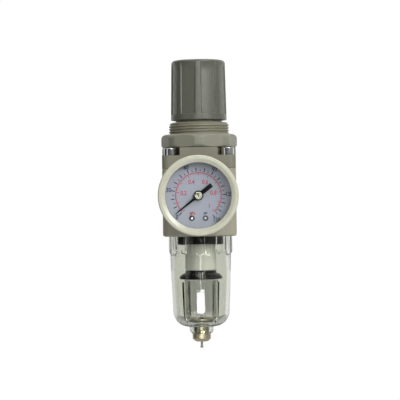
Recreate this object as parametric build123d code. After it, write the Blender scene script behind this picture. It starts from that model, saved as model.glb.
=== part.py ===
from build123d import *
import math
import os

# Filter regulator for compressed air, millimetres, +Z up.
# The origin is on the main axis, in the plane of the top face of the panel ring nut.
# The pressure gauge faces -Y, air comes in at -X and goes out at +X.

# Driving sizes of the metal housing
BODY_WIDTH = 40.0
BODY_CORNER = 3.5
PORT_Z = -33.7
BODY_TOP = -19.1
BODY_BOTTOM = -55.7
FLANGE_TOP = -11.8
NUT_BOTTOM = -7.5
COLLAR_TOP = 6.6
COLLAR_R = 16.5
THREAD_ROOT_R = 15.7
COLLAR_ROUND = 1.8
BODY_EDGE_ROUND = 1.2
WALL_ARM_WIDTH = 20.4
SHOULDER_R = 17.5
TOWER_R = 12.7
TOWER_TOP = 33.0
TOWER_ROOF = 2.0
SPRING_BORE_R = 11.0
KEYWAY_R = 11.9
KEYWAY_WIDTH = 4.0
KEYWAY_BOTTOM = 12.0
VENT_R = 0.8
VENT_HEIGHT = 2.2
BONNET_LIP = 1.6
BONNET_CONE = 4.5

# Bonnet screws
SCREW_PLACE = 15.5
SCREW_SHANK_R = 2.0
SCREW_SHANK = 8.0
SCREW_HOLE_R = 2.25
SCREW_HEAD_R = 3.5
SCREW_HEAD = 4.0
SCREW_SOCKET = 3.0
SCREW_SOCKET_DEPTH = 2.2

# Panel ring nut
NUT_SIDES = 8
NUT_FLATS = 40.0
NUT_CORNER_R = 20.85
NUT_TOP_ROUND = 2.5
NUT_BOTTOM_ROUND = 1.9

# Ports
PORT_R = 5.72
PORT_DEPTH = 11.0
PORT_MOUTH = 0.8
GAUGE_PORT_R = 4.3
GAUGE_PORT_DEPTH = 8.5
GAUGE_PASSAGE_R = 1.2
OUTLET_PASSAGE_R = 4.0
OUTLET_PASSAGE_RISE = 1.5
FEEDBACK_R = 1.0
FEEDBACK_X = 12.0
INLET_DROP_R = 2.4
INLET_DROP_X = -12.2
PLUG_START = 13.0
PLUG_SOCKET = 5.0
PLUG_SOCKET_START = 16.0

# Diaphragm and valve levels
RUBBER = 1.2
CHAMBER_R = 15.5
RIM_R = 17.5
DIAPHRAGM_TOP = BODY_TOP
DIAPHRAGM_BOTTOM = DIAPHRAGM_TOP - RUBBER
CHAMBER_FLOOR = -24.5
OUTLET_TOP = -27.5
OUTLET_R = 7.0
SEAT_TOP = -36.5
SEAT_Z = -38.5
SEAT_HOLE_R = 3.2
SEAT_LIP = 0.4
SEAT_LIP_WIDTH = 0.8
CLEAN_R = 8.0
HUB_R = 10.0
HUB_BOTTOM = -53.0
BOWL_BORE_R = 15.1
BOWL_BORE_TOP = -47.5
STEM_R = 1.45
STEM_FIT = 0.05
STEM_SHOULDER = 1.6
GUIDE_STEM_R = 2.0
GUIDE_STEM_BOTTOM = -51.0
GUIDE_TOP = -49.5
GUIDE_FLANGE = 1.2
GUIDE_HOLES = 6
GUIDE_HOLE_R = 1.1
GUIDE_HOLE_PLACE = 4.9
POPPET_R = 5.0
POPPET_TOP = -40.5
POPPET_BOTTOM = -41.7
VALVE_SPRING_R = 3.6
VALVE_WIRE_R = 0.4

# Diaphragm stack
FOLD_PLACE = 13.75
FOLD_R = 1.75
FOLD_INNER_R = 0.55
RIVET_R = 2.5
RIVET_HEAD_R = 3.6
RIVET_HEAD = 0.8
HUB_DISC_R = 6.0
HUB_DISC = 1.7
RELIEF_R = 0.8
PLATE_R = 10.6
PLATE_BOSS = 2.0

# Adjusting screw, knob and main spring
SCREW_R = 3.9
HEX_FLATS = 8.0
SPRING_NUT_TOP = 25.0
SPRING_NUT_BOTTOM = 20.0
SPRING_SEAT_R = 7.6
MAIN_SPRING_R = 9.2
MAIN_WIRE_R = 1.3
MAIN_TURNS = 6.5
SCREW_BOTTOM = 11.0
THRUST_R = 7.0
THRUST_TOP_GAP = 0.85
CLIP_R = 6.2
CLIP_BOTTOM = 33.05
CLIP_TOP = 33.95
GROOVE_DEPTH = 0.4
SLIDE_FIT = 0.2
PLATE_TOP = -17.5
KNOB_BOTTOM = 7.8
KNOB_SKIRT_TOP = 11.06
KNOB_TOP = 40.6
KNOB_BOTTOM_R = 15.35
KNOB_TOP_R = 14.7
KNOB_ROUND = 2.8
KNOB_CEILING = 38.7
KNOB_HUB_BOTTOM = 35.4
HEX_TOP = 37.4
KNOB_BORE_R = 13.0
KNOB_RIBS = 8
RIB_ANGLE = 14.4
PANEL_DISTANCE = 14.05
KNOB_RECESS_R = 9.0
KNOB_RECESS = 0.5
KNOB_HUB_R = 6.8
KNOB_MOUTH = 0.9
PANEL_FILLET = 0.9
LOCK_TEETH = 24
TOOTH_WIDTH = 1.1
TOOTH_HEIGHT = 1.1
LOCK_MOUTH = 1.6
TOWER_TEETH_TURN = 7.5

# Clear bowl and drain
BOWL_NECK_TOP = -49.5
BOWL_NECK_R = 15.0
BOWL_NECK_BORE_R = 13.2
BOWL_NECK_BORE_BOTTOM = -57.0
BOWL_COLLAR_TOP = -55.9
BOWL_COLLAR_BOTTOM = -65.2
BOWL_COLLAR_R = 17.6
RIB_HEIGHT = 0.6
RIB_WIDTH = 3.2
RIB_END_ROUND = 1.5
GRIP_RIBS = 16
GRIP_TURN = -76.5
BOWL_TOP_R = 16.8
BOWL_TOP = -66.0
BOWL_MIDDLE_R = 16.1
BOWL_MIDDLE = -85.0
BOWL_LOW_R = 15.5
BOWL_BOTTOM = -105.5
BOWL_CORNER = 8.3
BOWL_WALL = 2.2
STRIP_WIDTH = 4.5
STRIP_BOTTOM = -99.5
FIN_INNER_R = 9.9
FIN_ANGLES = (50, 130, 230, 310)
FIN_TOP = -81.0
FIN_WIDTH = 1.2
BOSS_BOTTOM = -109.3
BOSS_R = 6.75
BOSS_ROUND = 1.0
DRAIN_R = 3.9
DRAIN_BORE_R = 2.6
DRAIN_BOTTOM = -112.0
DRAIN_FLANGE_R = 6.2
DRAIN_TOP = -101.5
FLANGE_HEIGHT = 1.0
GASKET_R = 6.5
GASKET = 0.8
BORE_CEILING = 1.0
CAP_R = 5.1
CAP_BOTTOM = -113.8
CAP_FLOOR = -111.0
CAP_ROUND = 1.2
PIN_R = 0.65
PIN_BOTTOM = -117.4
PIN_TIP_R = 0.85
PIN_TIP = 0.6
PIN_COLLAR_R = 2.2
PIN_COLLAR = 0.8
PIN_HEAD_R = 1.2
PIN_HEAD_TOP = -99.4
SEAL_R = 1.9
DRAIN_SPRING_R = 1.7
DRAIN_WIRE_R = 0.3

# Filter stack
ELEMENT_R = 8.5
ELEMENT_BORE_R = 6.0
ELEMENT_TOP = -55.4
ELEMENT_BOTTOM = -74.1
DEFLECTOR_R = 12.6
DEFLECTOR_BOTTOM = -60.0
DEFLECTOR_BAND = 0.7
DEFLECTOR_SLEEVE_R = 9.4
VANES = 16
VANE_SLOPE = 40.0
VANE_THICKNESS = 0.8
BAFFLE_R = 11.8
BAFFLE_BOTTOM = -79.5
STUD_R = 2.4
STUD_BOTTOM = -76.8

# Pressure gauge, measured forward from the main axis
SOCKET_TIP = 11.5
CASE_BACK = 28.0
CASE_FRONT = 46.8
CASE_R = 20.2
CASE_WALL = 0.8
DIAL_FACE = 46.0
DIAL_R = 18.6
DIAL_PLATE = 0.5
WINDOW_BACK = 49.8
WINDOW_FRONT = 51.6
WINDOW_R = 18.8
BEZEL_R = 21.05
BEZEL_INNER_R = 17.3
BEZEL_FRONT = 54.0
BEZEL_BACK = 44.0
SHANK_END = 20.0
HEX_BACK = 21.0
HEX_FRONT = 27.2
SOCKET_HEX = 12.0
SOCKET_NECK_R = 4.1
BLOCK_FRONT = 36.0
TUBE_R = 13.6
TUBE_FORWARD = 33.5
TUBE_ARC = 262
TUBE_START = -78
BACK_PLATE = 36.0
FRONT_PLATE = 42.3
PLATE = 0.9
DIAL_SCREW_X = 3.55
DIAL_SCREW_Y = -11.85
DIAL_SCREW_R = 1.5
DIAL_HOLE_R = 0.8
SHAFT_HOLE_R = 0.65
SHAFT_R = 0.6
SHAFT_BACK = 36.1
POINTER_BACK = 47.3
POINTER_FRONT = 47.7
HUB_CAP_R = 2.1
HUB_COLLAR_R = 2.6
HUB_FRONT = 48.7
STOP_FRONT = 48.4
REST_ANGLE = 218.3
STOP_ANGLE = 224.0
STOP_R = 11.9
GEAR_MODULE = 0.25
PINION_TEETH = 8
SECTOR_TEETH = 80
SECTOR_SWING = 26.0
SECTOR_BACK = 39.4
SECTOR_PLATE = 0.8
PINION_R = GEAR_MODULE * PINION_TEETH / 2
SECTOR_R = GEAR_MODULE * SECTOR_TEETH / 2
SECTOR_PIVOT = -(PINION_R + SECTOR_R)

GAUGE = Pos(0, 0, PORT_Z) * Rot(90, 0, 0)
UP = (Align.CENTER, Align.CENTER, Align.MIN)


def rod(radius, low, high, x=0.0, y=0.0):
    """A plain cylinder along Z between two levels."""
    return Pos(x, y, low) * Cylinder(radius, high - low, align=UP)


def ring(outer, inner, low, high):
    """A washer about the Z axis."""
    return rod(outer, low, high) - rod(inner, low - 1, high + 1)


def block(width, depth, low, high, x=0.0, y=0.0):
    """A box between two levels."""
    return Pos(x, y, low) * Box(width, depth, high - low, align=UP)


def turned(points):
    """A solid turned about Z from (radius, level) points."""
    return revolve(Plane.XZ * make_face(Polyline(*points, close=True)), Axis.Z)


def tapered(low_r, high_r, low, high):
    """A cone frustum about Z."""
    return turned([(0, low), (low_r, low), (high_r, high), (0, high)])


def hexagon(flats, low, high, turn=0.0):
    """A hexagonal bar about Z."""
    shape = Rot(0, 0, turn) * RegularPolygon(flats / 2, 6, major_radius=False)
    return Pos(0, 0, low) * extrude(shape, high - low)


def rounded_square(low, high):
    """The square section of the housing with rounded corners."""
    return Pos(0, 0, low) * extrude(RectangleRounded(BODY_WIDTH, BODY_WIDTH, BODY_CORNER), high - low)


def side_bore(radius, start, end, angle, level=PORT_Z):
    """A horizontal cylinder from start to end away from the main axis."""
    return Pos(0, 0, level) * Rot(0, 0, angle) * Rot(0, 90, 0) * rod(radius, start, end)


def coil(mean_r, wire_r, low, high, turns):
    """A helical spring with ends ground flat."""
    pitch = (high - low - wire_r) / turns
    path = Helix(pitch, high - low, mean_r, center=(0, 0, low))
    section = Plane(origin=path @ 0, z_dir=path % 0) * RegularPolygon(wire_r, 8)
    wire = sweep(section, path, is_frenet=True)
    return wire & rod(mean_r + 2 * wire_r, low, high)


def corners(distance):
    """The four corner places at an equal distance from both axes."""
    return [(x, y) for x in (-distance, distance) for y in (-distance, distance)]


def regulator_body():
    """Cast body with its ports, diaphragm chamber, valve seat and bowl socket."""
    half = BODY_WIDTH / 2
    body = rounded_square(BODY_BOTTOM, BODY_TOP)
    body = fillet(body.edges().group_by(Axis.Z)[0], BODY_EDGE_ROUND)
    body -= rod(RIM_R, DIAPHRAGM_BOTTOM, BODY_TOP + 1)
    body -= rod(CHAMBER_R, CHAMBER_FLOOR, DIAPHRAGM_BOTTOM + 1)
    body -= rod(STEM_R + STEM_FIT, OUTLET_TOP - 1, CHAMBER_FLOOR + 1)
    body -= rod(OUTLET_R, SEAT_TOP, OUTLET_TOP)
    body -= rod(SEAT_HOLE_R, SEAT_Z - 1, SEAT_TOP + 1)
    body -= rod(CLEAN_R, BODY_BOTTOM - 1, SEAT_Z)
    body += ring(SEAT_HOLE_R + SEAT_LIP_WIDTH, SEAT_HOLE_R, SEAT_Z - SEAT_LIP, SEAT_Z)
    body -= ring(BOWL_BORE_R, HUB_R, BODY_BOTTOM - 1, BOWL_BORE_TOP)
    body -= rod(BOWL_BORE_R, BODY_BOTTOM - 1, HUB_BOTTOM)
    for angle in (0, 180):
        body -= side_bore(PORT_R, half - PORT_DEPTH, half + 1, angle)
        mouth = tapered(PORT_R, PORT_R + PORT_MOUTH, half - PORT_MOUTH, half)
        body -= Pos(0, 0, PORT_Z) * Rot(0, 0, angle) * Rot(0, 90, 0) * mouth
    passage_level = PORT_Z + OUTLET_PASSAGE_RISE
    body -= side_bore(OUTLET_PASSAGE_R, OUTLET_R - 2, half - PORT_DEPTH + 0.1, 0, passage_level)
    body -= rod(FEEDBACK_R, PORT_Z, CHAMBER_FLOOR + 1, x=FEEDBACK_X)
    body -= rod(INLET_DROP_R, BOWL_BORE_TOP - 0.5, PORT_Z, x=INLET_DROP_X)
    for angle in (-90, 90):
        body -= side_bore(GAUGE_PORT_R, half - GAUGE_PORT_DEPTH, half + 1, angle)
        body -= side_bore(GAUGE_PASSAGE_R, OUTLET_R - 1, half - GAUGE_PORT_DEPTH + 0.1, angle)
    for x, y in corners(SCREW_PLACE):
        body -= rod(SCREW_SHANK_R, BODY_TOP - SCREW_SHANK - 1, BODY_TOP + 1, x, y)
    return body


def bonnet():
    """Spring housing with the corner pockets, the threaded collar and the knob tower."""
    shell = rounded_square(BODY_TOP, FLANGE_TOP)
    outline = rounded_square(FLANGE_TOP, NUT_BOTTOM)
    arms = block(WALL_ARM_WIDTH, BODY_WIDTH, FLANGE_TOP, NUT_BOTTOM)
    arms += block(BODY_WIDTH, WALL_ARM_WIDTH, FLANGE_TOP, NUT_BOTTOM)
    arms += rod(SHOULDER_R, FLANGE_TOP, NUT_BOTTOM)
    shell += outline & arms
    shell += rod(THREAD_ROOT_R, NUT_BOTTOM, 0)
    collar = rod(COLLAR_R, 0, COLLAR_TOP)
    shell += fillet(collar.edges().group_by(Axis.Z)[-1], COLLAR_ROUND)
    shell += rod(TOWER_R, COLLAR_TOP, TOWER_TOP)
    shell += lock_teeth(TOWER_R - 0.2, TOWER_R + 0.9, COLLAR_TOP - 0.1, TOWER_TEETH_TURN)
    roof = TOWER_TOP - TOWER_ROOF
    cone_foot = BODY_TOP + BONNET_LIP
    shell -= rod(SPRING_BORE_R, BODY_TOP - 1, roof)
    shell -= rod(CHAMBER_R, BODY_TOP - 1, cone_foot)
    shell -= tapered(CHAMBER_R, SPRING_BORE_R, cone_foot, cone_foot + BONNET_CONE)
    shell -= rod(SCREW_R + STEM_FIT, roof - 1, TOWER_TOP + 1)
    keyways = block(2 * KEYWAY_R, KEYWAY_WIDTH, KEYWAY_BOTTOM, roof)
    shell -= keyways & rod(KEYWAY_R, KEYWAY_BOTTOM, TOWER_TOP)
    shell -= side_bore(VENT_R, SPRING_BORE_R - 1, BODY_WIDTH / 2 + 1, 90, FLANGE_TOP + VENT_HEIGHT)
    for x, y in corners(SCREW_PLACE):
        shell -= rod(SCREW_HOLE_R, BODY_TOP - 1, FLANGE_TOP + 1, x, y)
    return shell


def lock_teeth(inner, outer, low, turn):
    """The ring of short teeth that hold the knob when it is pushed down."""
    teeth = []
    for index in range(LOCK_TEETH):
        tooth = block(outer - inner, TOOTH_WIDTH, low, low + TOOTH_HEIGHT, x=(inner + outer) / 2)
        teeth.append(Rot(0, 0, turn + index * 360 / LOCK_TEETH) * tooth)
    return teeth


def ring_nut():
    """Panel nut: an octagon, one corner to the front, with its corners and edges turned round."""
    outline = RegularPolygon(NUT_FLATS / 2, NUT_SIDES, major_radius=False)
    nut = Pos(0, 0, NUT_BOTTOM) * extrude(outline, -NUT_BOTTOM)
    envelope = rod(NUT_CORNER_R, NUT_BOTTOM, 0)
    envelope = fillet(envelope.edges().group_by(Axis.Z)[-1], NUT_TOP_ROUND)
    envelope = fillet(envelope.edges().group_by(Axis.Z)[0], NUT_BOTTOM_ROUND)
    nut &= envelope
    return nut - rod(THREAD_ROOT_R, NUT_BOTTOM - 1, 1)


def bonnet_screws():
    """Four cap screws with hexagon sockets, in the corner pockets."""
    head_top = FLANGE_TOP + SCREW_HEAD
    socket = hexagon(SCREW_SOCKET, head_top - SCREW_SOCKET_DEPTH, head_top + 1)
    screw = rod(SCREW_SHANK_R, BODY_TOP - SCREW_SHANK, FLANGE_TOP) + rod(SCREW_HEAD_R, FLANGE_TOP, head_top)
    screw = chamfer(screw.edges().group_by(Axis.Z)[-1], 0.3) - socket
    return Compound([Pos(x, y, 0) * screw for x, y in corners(SCREW_PLACE)])


def diaphragm():
    """Rubber sheet with a thick rim and one rolled fold."""
    fold_half = (FOLD_R + FOLD_INNER_R) / 2
    sheet = ring(FOLD_PLACE - fold_half, RIVET_R, DIAPHRAGM_BOTTOM, DIAPHRAGM_TOP)
    sheet += ring(RIM_R, FOLD_PLACE + fold_half, DIAPHRAGM_BOTTOM, DIAPHRAGM_TOP)
    fold = Circle(FOLD_R) - Circle(FOLD_INNER_R)
    fold &= Pos(0, FOLD_R / 2 + 0.1) * Rectangle(2 * FOLD_R + 1, FOLD_R + 0.2)
    sheet += revolve(Plane.XZ * Pos(FOLD_PLACE, DIAPHRAGM_BOTTOM) * fold, Axis.Z)
    return sheet


def diaphragm_plate():
    """Steel plate that spreads the spring's push over the diaphragm."""
    plate = rod(PLATE_R, DIAPHRAGM_TOP, PLATE_TOP) + rod(SPRING_SEAT_R, PLATE_TOP, PLATE_TOP + PLATE_BOSS)
    plate = chamfer(plate.edges().group_by(Axis.Z)[-1], 0.5)
    return plate - rod(RIVET_R, DIAPHRAGM_TOP - 1, PLATE_TOP + PLATE_BOSS + 1)


def diaphragm_hub():
    """Rivet through the diaphragm with the relief hole that the stem closes."""
    head_bottom = PLATE_TOP + PLATE_BOSS
    hub = rod(HUB_DISC_R, DIAPHRAGM_BOTTOM - HUB_DISC, DIAPHRAGM_BOTTOM)
    hub = fillet(hub.edges().group_by(Axis.Z)[0], 0.6)
    hub += rod(RIVET_R, DIAPHRAGM_BOTTOM, head_bottom)
    hub += rod(RIVET_HEAD_R, head_bottom, head_bottom + RIVET_HEAD)
    return hub - rod(RELIEF_R, DIAPHRAGM_BOTTOM - HUB_DISC - 1, head_bottom + RIVET_HEAD + 1)


def main_spring():
    """Pressure setting spring between the spring nut and the diaphragm plate."""
    return coil(MAIN_SPRING_R, MAIN_WIRE_R, PLATE_TOP, SPRING_NUT_BOTTOM, MAIN_TURNS)


def spring_nut():
    """Nut that climbs on the adjusting screw, kept from turning by two lugs."""
    nut = rod(SPRING_BORE_R - SLIDE_FIT, SPRING_NUT_BOTTOM, SPRING_NUT_TOP)
    length = 2 * (KEYWAY_R - SLIDE_FIT)
    lugs = block(length, KEYWAY_WIDTH - 2 * SLIDE_FIT, SPRING_NUT_BOTTOM, SPRING_NUT_TOP)
    nut += lugs & rod(KEYWAY_R - SLIDE_FIT, SPRING_NUT_BOTTOM, SPRING_NUT_TOP)
    nut += rod(SPRING_SEAT_R, SPRING_NUT_BOTTOM - 3, SPRING_NUT_BOTTOM)
    return nut - rod(SCREW_R + STEM_FIT, SPRING_NUT_BOTTOM - 4, SPRING_NUT_TOP + 1)


def adjusting_screw():
    """Screw hung from the tower roof, with a hexagon for the knob."""
    thrust_top = TOWER_TOP - TOWER_ROOF - THRUST_TOP_GAP
    shoulder = TOWER_TOP + 1.1
    screw = rod(SCREW_R, SCREW_BOTTOM, shoulder)
    screw = chamfer(screw.edges().group_by(Axis.Z)[0], 0.7)
    screw += rod(THRUST_R, thrust_top - 2.15, thrust_top)
    screw += hexagon(HEX_FLATS, shoulder, HEX_TOP)
    return screw - ring(SCREW_R + 1, SCREW_R - GROOVE_DEPTH, CLIP_BOTTOM, CLIP_TOP)


def thrust_washer():
    """Thin washer under the tower roof."""
    roof = TOWER_TOP - TOWER_ROOF
    return ring(THRUST_R + 0.5, SCREW_R, roof - THRUST_TOP_GAP, roof - STEM_FIT)


def screw_clip():
    """Open retaining ring in the groove of the adjusting screw."""
    clip = ring(CLIP_R, SCREW_R - GROOVE_DEPTH, CLIP_BOTTOM, CLIP_TOP)
    gap = SCREW_R + 0.5
    return clip - block(gap, 2 * SCREW_R, CLIP_BOTTOM - 1, CLIP_TOP + 1, y=-CLIP_R)


def knob():
    """Hollow knob with eight ribs, a plain skirt and a hexagon socket."""
    shell = tapered(KNOB_BOTTOM_R, KNOB_TOP_R, KNOB_BOTTOM, KNOB_TOP)
    shell = fillet(shell.edges().group_by(Axis.Z)[-1], KNOB_ROUND)
    pitch = 360 / KNOB_RIBS
    width = 2 * KNOB_BOTTOM_R * math.sin(math.radians((pitch - RIB_ANGLE) / 2))
    panel = block(4.0, width, KNOB_SKIRT_TOP, KNOB_TOP + 1, x=PANEL_DISTANCE + 2.0)
    panel = fillet(panel.edges().filter_by(Axis.Z).group_by(Axis.X)[0], PANEL_FILLET)
    for index in range(KNOB_RIBS):
        shell -= Rot(0, 0, (index + 0.5) * pitch) * panel
    shell -= rod(KNOB_RECESS_R, KNOB_TOP - KNOB_RECESS, KNOB_TOP + 1)
    shell -= rod(KNOB_BORE_R + KNOB_MOUTH, KNOB_BOTTOM - 1, KNOB_BOTTOM + LOCK_MOUTH)
    shell -= rod(KNOB_BORE_R, KNOB_BOTTOM, KNOB_CEILING)
    teeth_bottom = KNOB_BOTTOM + LOCK_MOUTH - TOOTH_HEIGHT
    shell += lock_teeth(KNOB_BORE_R + STEM_FIT, KNOB_BORE_R + 1.0, teeth_bottom, 0)
    shell += rod(KNOB_HUB_R, KNOB_HUB_BOTTOM, KNOB_CEILING)
    shell -= hexagon(HEX_FLATS + 2 * STEM_FIT, KNOB_HUB_BOTTOM - 1, KNOB_CEILING)
    return shell


def valve_stem():
    """Valve stem with its poppet disc and the lower guide pin."""
    shoulder = SEAT_Z - STEM_SHOULDER
    stem = rod(STEM_R, shoulder, DIAPHRAGM_BOTTOM - HUB_DISC)
    stem += rod(POPPET_R, POPPET_BOTTOM, POPPET_TOP)
    return stem + rod(GUIDE_STEM_R, GUIDE_STEM_BOTTOM, shoulder)


def valve_rubber():
    """Rubber ring on the poppet, pressed against the seat."""
    rubber = ring(POPPET_R - 0.1, STEM_R, POPPET_TOP, SEAT_Z - SEAT_LIP)
    return rubber - rod(GUIDE_STEM_R, POPPET_TOP - 0.1, SEAT_Z - STEM_SHOULDER)


def valve_spring():
    """Light spring that shuts the poppet."""
    return coil(VALVE_SPRING_R, VALVE_WIRE_R, GUIDE_TOP, POPPET_BOTTOM, 4.5)


def valve_guide():
    """Lower guide of the valve with air holes and the stud for the filter."""
    flange_bottom = HUB_BOTTOM - GUIDE_FLANGE
    guide = rod(CLEAN_R - STEM_FIT, HUB_BOTTOM, GUIDE_TOP) + rod(HUB_R - 0.2, flange_bottom, HUB_BOTTOM)
    guide -= ring(CLEAN_R + 1, CLEAN_R - 1.0, GUIDE_TOP - 2.2, GUIDE_TOP - 1.1)
    guide -= rod(GUIDE_STEM_R + STEM_FIT, GUIDE_STEM_BOTTOM - 1.6, GUIDE_TOP + 1)
    for index in range(GUIDE_HOLES):
        hole = rod(GUIDE_HOLE_R, HUB_BOTTOM - 2, GUIDE_TOP + 1, x=GUIDE_HOLE_PLACE)
        guide -= Rot(0, 0, (index + 0.5) * 360 / GUIDE_HOLES) * hole
    return guide + rod(STUD_R, STUD_BOTTOM, flange_bottom)


def deflector():
    """Ring of slanted vanes that spins the air as it enters the bowl."""
    top = HUB_BOTTOM - GUIDE_FLANGE
    part = ring(DEFLECTOR_SLEEVE_R, STUD_R + 3.2, ELEMENT_TOP, top)
    part += ring(DEFLECTOR_SLEEVE_R, ELEMENT_R + 0.2, DEFLECTOR_BOTTOM, ELEMENT_TOP)
    part += ring(DEFLECTOR_R, DEFLECTOR_R - DEFLECTOR_BAND, DEFLECTOR_BOTTOM, top)
    zone = ring(DEFLECTOR_R - 0.3, DEFLECTOR_SLEEVE_R - 0.3, DEFLECTOR_BOTTOM, ELEMENT_TOP)
    middle = (DEFLECTOR_BOTTOM + ELEMENT_TOP) / 2
    vane = Pos(10.9, 0, middle) * Rot(VANE_SLOPE, 0, 0) * Box(6, VANE_THICKNESS, 8)
    return part + [(Rot(0, 0, index * 360 / VANES) * vane) & zone for index in range(VANES)]


def filter_element():
    """Sintered filter tube."""
    return ring(ELEMENT_R, ELEMENT_BORE_R, ELEMENT_BOTTOM, ELEMENT_TOP)


def baffle():
    """Cap that clamps the filter and shades the still water below it."""
    profile = [(0, ELEMENT_BOTTOM), (ELEMENT_R, ELEMENT_BOTTOM), (ELEMENT_R, -76.0), (9.4, -76.6)]
    profile += [(11.2, -77.6), (BAFFLE_R, -78.5), (BAFFLE_R, -79.2), (11.2, BAFFLE_BOTTOM)]
    profile += [(10.4, BAFFLE_BOTTOM), (9.6, -78.4), (7.4, -77.8), (0, -77.8)]
    return turned(profile) - rod(STUD_R, STUD_BOTTOM, ELEMENT_BOTTOM + 1)


def rear_plug():
    """Hexagon socket plug in the spare gauge port."""
    plug = rod(GAUGE_PORT_R, PLUG_START, BODY_WIDTH / 2 - 0.6)
    plug -= hexagon(PLUG_SOCKET, PLUG_SOCKET_START, BODY_WIDTH / 2)
    return Pos(0, 0, PORT_Z) * Rot(-90, 0, 0) * plug


def bowl_section():
    """The outline that is turned for the outside of the bowl, boss included."""
    centre_r = BOWL_LOW_R - BOWL_CORNER
    centre_z = BOWL_BOTTOM + BOWL_CORNER
    middle = BOWL_CORNER * math.sqrt(0.5)
    boss = Polyline((0, BOSS_BOTTOM), (BOSS_R, BOSS_BOTTOM), (BOSS_R, BOWL_BOTTOM), (centre_r, BOWL_BOTTOM))
    corner = ThreePointArc((centre_r, BOWL_BOTTOM), (centre_r + middle, centre_z - middle), (BOWL_LOW_R, centre_z))
    wall = Polyline((BOWL_LOW_R, centre_z), (BOWL_MIDDLE_R, BOWL_MIDDLE), (BOWL_TOP_R, BOWL_TOP),
                    (BOWL_COLLAR_R - RIB_HEIGHT, BOWL_COLLAR_BOTTOM),
                    (BOWL_COLLAR_R - RIB_HEIGHT, BOWL_COLLAR_TOP), (BOWL_NECK_R, BOWL_COLLAR_TOP),
                    (BOWL_NECK_R, BOWL_NECK_TOP), (0, BOWL_NECK_TOP), (0, BOSS_BOTTOM))
    return make_face([*boss.edges(), corner, *wall.edges()])


def bowl_hollow():
    """The outline that is turned for the inside of the bowl."""
    radius = BOWL_CORNER - BOWL_WALL
    centre_r = BOWL_LOW_R - BOWL_CORNER
    centre_z = BOWL_BOTTOM + BOWL_CORNER
    low = centre_z - radius
    middle = radius * math.sqrt(0.5)
    floor = Line((0, low), (centre_r, low))
    corner = ThreePointArc((centre_r, low), (centre_r + middle, centre_z - middle), (centre_r + radius, centre_z))
    wall = Polyline((centre_r + radius, centre_z), (BOWL_MIDDLE_R - BOWL_WALL + 0.2, BOWL_MIDDLE),
                    (BOWL_TOP_R - BOWL_WALL, BOWL_TOP - 9), (BOWL_NECK_BORE_R, BOWL_NECK_BORE_BOTTOM),
                    (BOWL_NECK_BORE_R, BOWL_NECK_TOP + 1), (0, BOWL_NECK_TOP + 1), (0, low))
    return make_face([floor, corner, *wall.edges()])


def bowl():
    """Clear bowl with its neck, grip ribs, front strip, inner fins and drain boss."""
    shell = revolve(Plane.XZ * bowl_section(), Axis.Z)
    shell = fillet(shell.edges().group_by(Axis.Z)[0], BOSS_ROUND)
    rib = block(1.6, RIB_WIDTH, BOWL_COLLAR_BOTTOM, BOWL_COLLAR_TOP, x=BOWL_COLLAR_R - 0.8)
    rib = fillet(rib.edges().filter_by(Axis.X).group_by(Axis.Z)[0], RIB_END_ROUND)
    shell += [Rot(0, 0, GRIP_TURN + index * 360 / GRIP_RIBS) * rib for index in range(GRIP_RIBS)]
    strip = block(STRIP_WIDTH, 6.0, STRIP_BOTTOM, BOWL_COLLAR_TOP, y=-14.2)
    shell += strip & tapered(BOWL_COLLAR_R - 1.6, BOWL_COLLAR_R - 0.2, STRIP_BOTTOM, BOWL_COLLAR_TOP)
    shell -= revolve(Plane.XZ * bowl_hollow(), Axis.Z)
    shell -= rod(DRAIN_R, BOSS_BOTTOM - 1, BOWL_BOTTOM + BOWL_WALL + 1)
    length = BOWL_LOW_R - FIN_INNER_R
    fin = block(length, FIN_WIDTH, BOWL_BOTTOM + BOWL_WALL, FIN_TOP, x=FIN_INNER_R + length / 2)
    fin &= revolve(Plane.XZ * bowl_section(), Axis.Z)
    return shell + [Rot(0, 0, angle) * fin for angle in FIN_ANGLES]


def drain_body():
    """Brass sleeve clamped through the bottom of the bowl."""
    flange_bottom = DRAIN_TOP - FLANGE_HEIGHT
    part = rod(DRAIN_FLANGE_R, flange_bottom, DRAIN_TOP) + rod(DRAIN_R, DRAIN_BOTTOM, flange_bottom)
    part -= rod(DRAIN_BORE_R, DRAIN_BOTTOM - 1, flange_bottom - BORE_CEILING)
    return part - rod(PIN_R + STEM_FIT, flange_bottom - 2, DRAIN_TOP + 1)


def drain_gasket():
    """Black washer that seals the drain in the bowl."""
    top = DRAIN_TOP - FLANGE_HEIGHT
    return ring(GASKET_R, DRAIN_R, top - GASKET, top)


def drain_nut():
    """Domed nut under the bowl, with the hole for the drain pin."""
    nut = rod(CAP_R, CAP_BOTTOM, BOSS_BOTTOM)
    nut = fillet(nut.edges().group_by(Axis.Z)[0], CAP_ROUND)
    nut -= rod(DRAIN_R, DRAIN_BOTTOM, BOSS_BOTTOM + 1)
    return nut - rod(PIN_R + STEM_FIT, CAP_BOTTOM - 1, CAP_FLOOR)


def drain_stem():
    """Pin that is pushed up to let the water out."""
    seal_top = DRAIN_TOP + GASKET
    stem = rod(PIN_R, PIN_BOTTOM + PIN_TIP, seal_top + 1) + rod(PIN_HEAD_R, seal_top, PIN_HEAD_TOP)
    stem += rod(PIN_COLLAR_R, CAP_FLOOR, CAP_FLOOR + PIN_COLLAR)
    return stem + tapered(PIN_TIP_R, PIN_R, PIN_BOTTOM, PIN_BOTTOM + PIN_TIP)


def drain_seal():
    """Rubber washer under the head of the drain pin."""
    return ring(SEAL_R, PIN_R, DRAIN_TOP, DRAIN_TOP + GASKET)


def drain_spring():
    """Spring that keeps the drain shut."""
    ceiling = DRAIN_TOP - FLANGE_HEIGHT - BORE_CEILING
    return coil(DRAIN_SPRING_R, DRAIN_WIRE_R, CAP_FLOOR + PIN_COLLAR, ceiling, 5.5)


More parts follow.
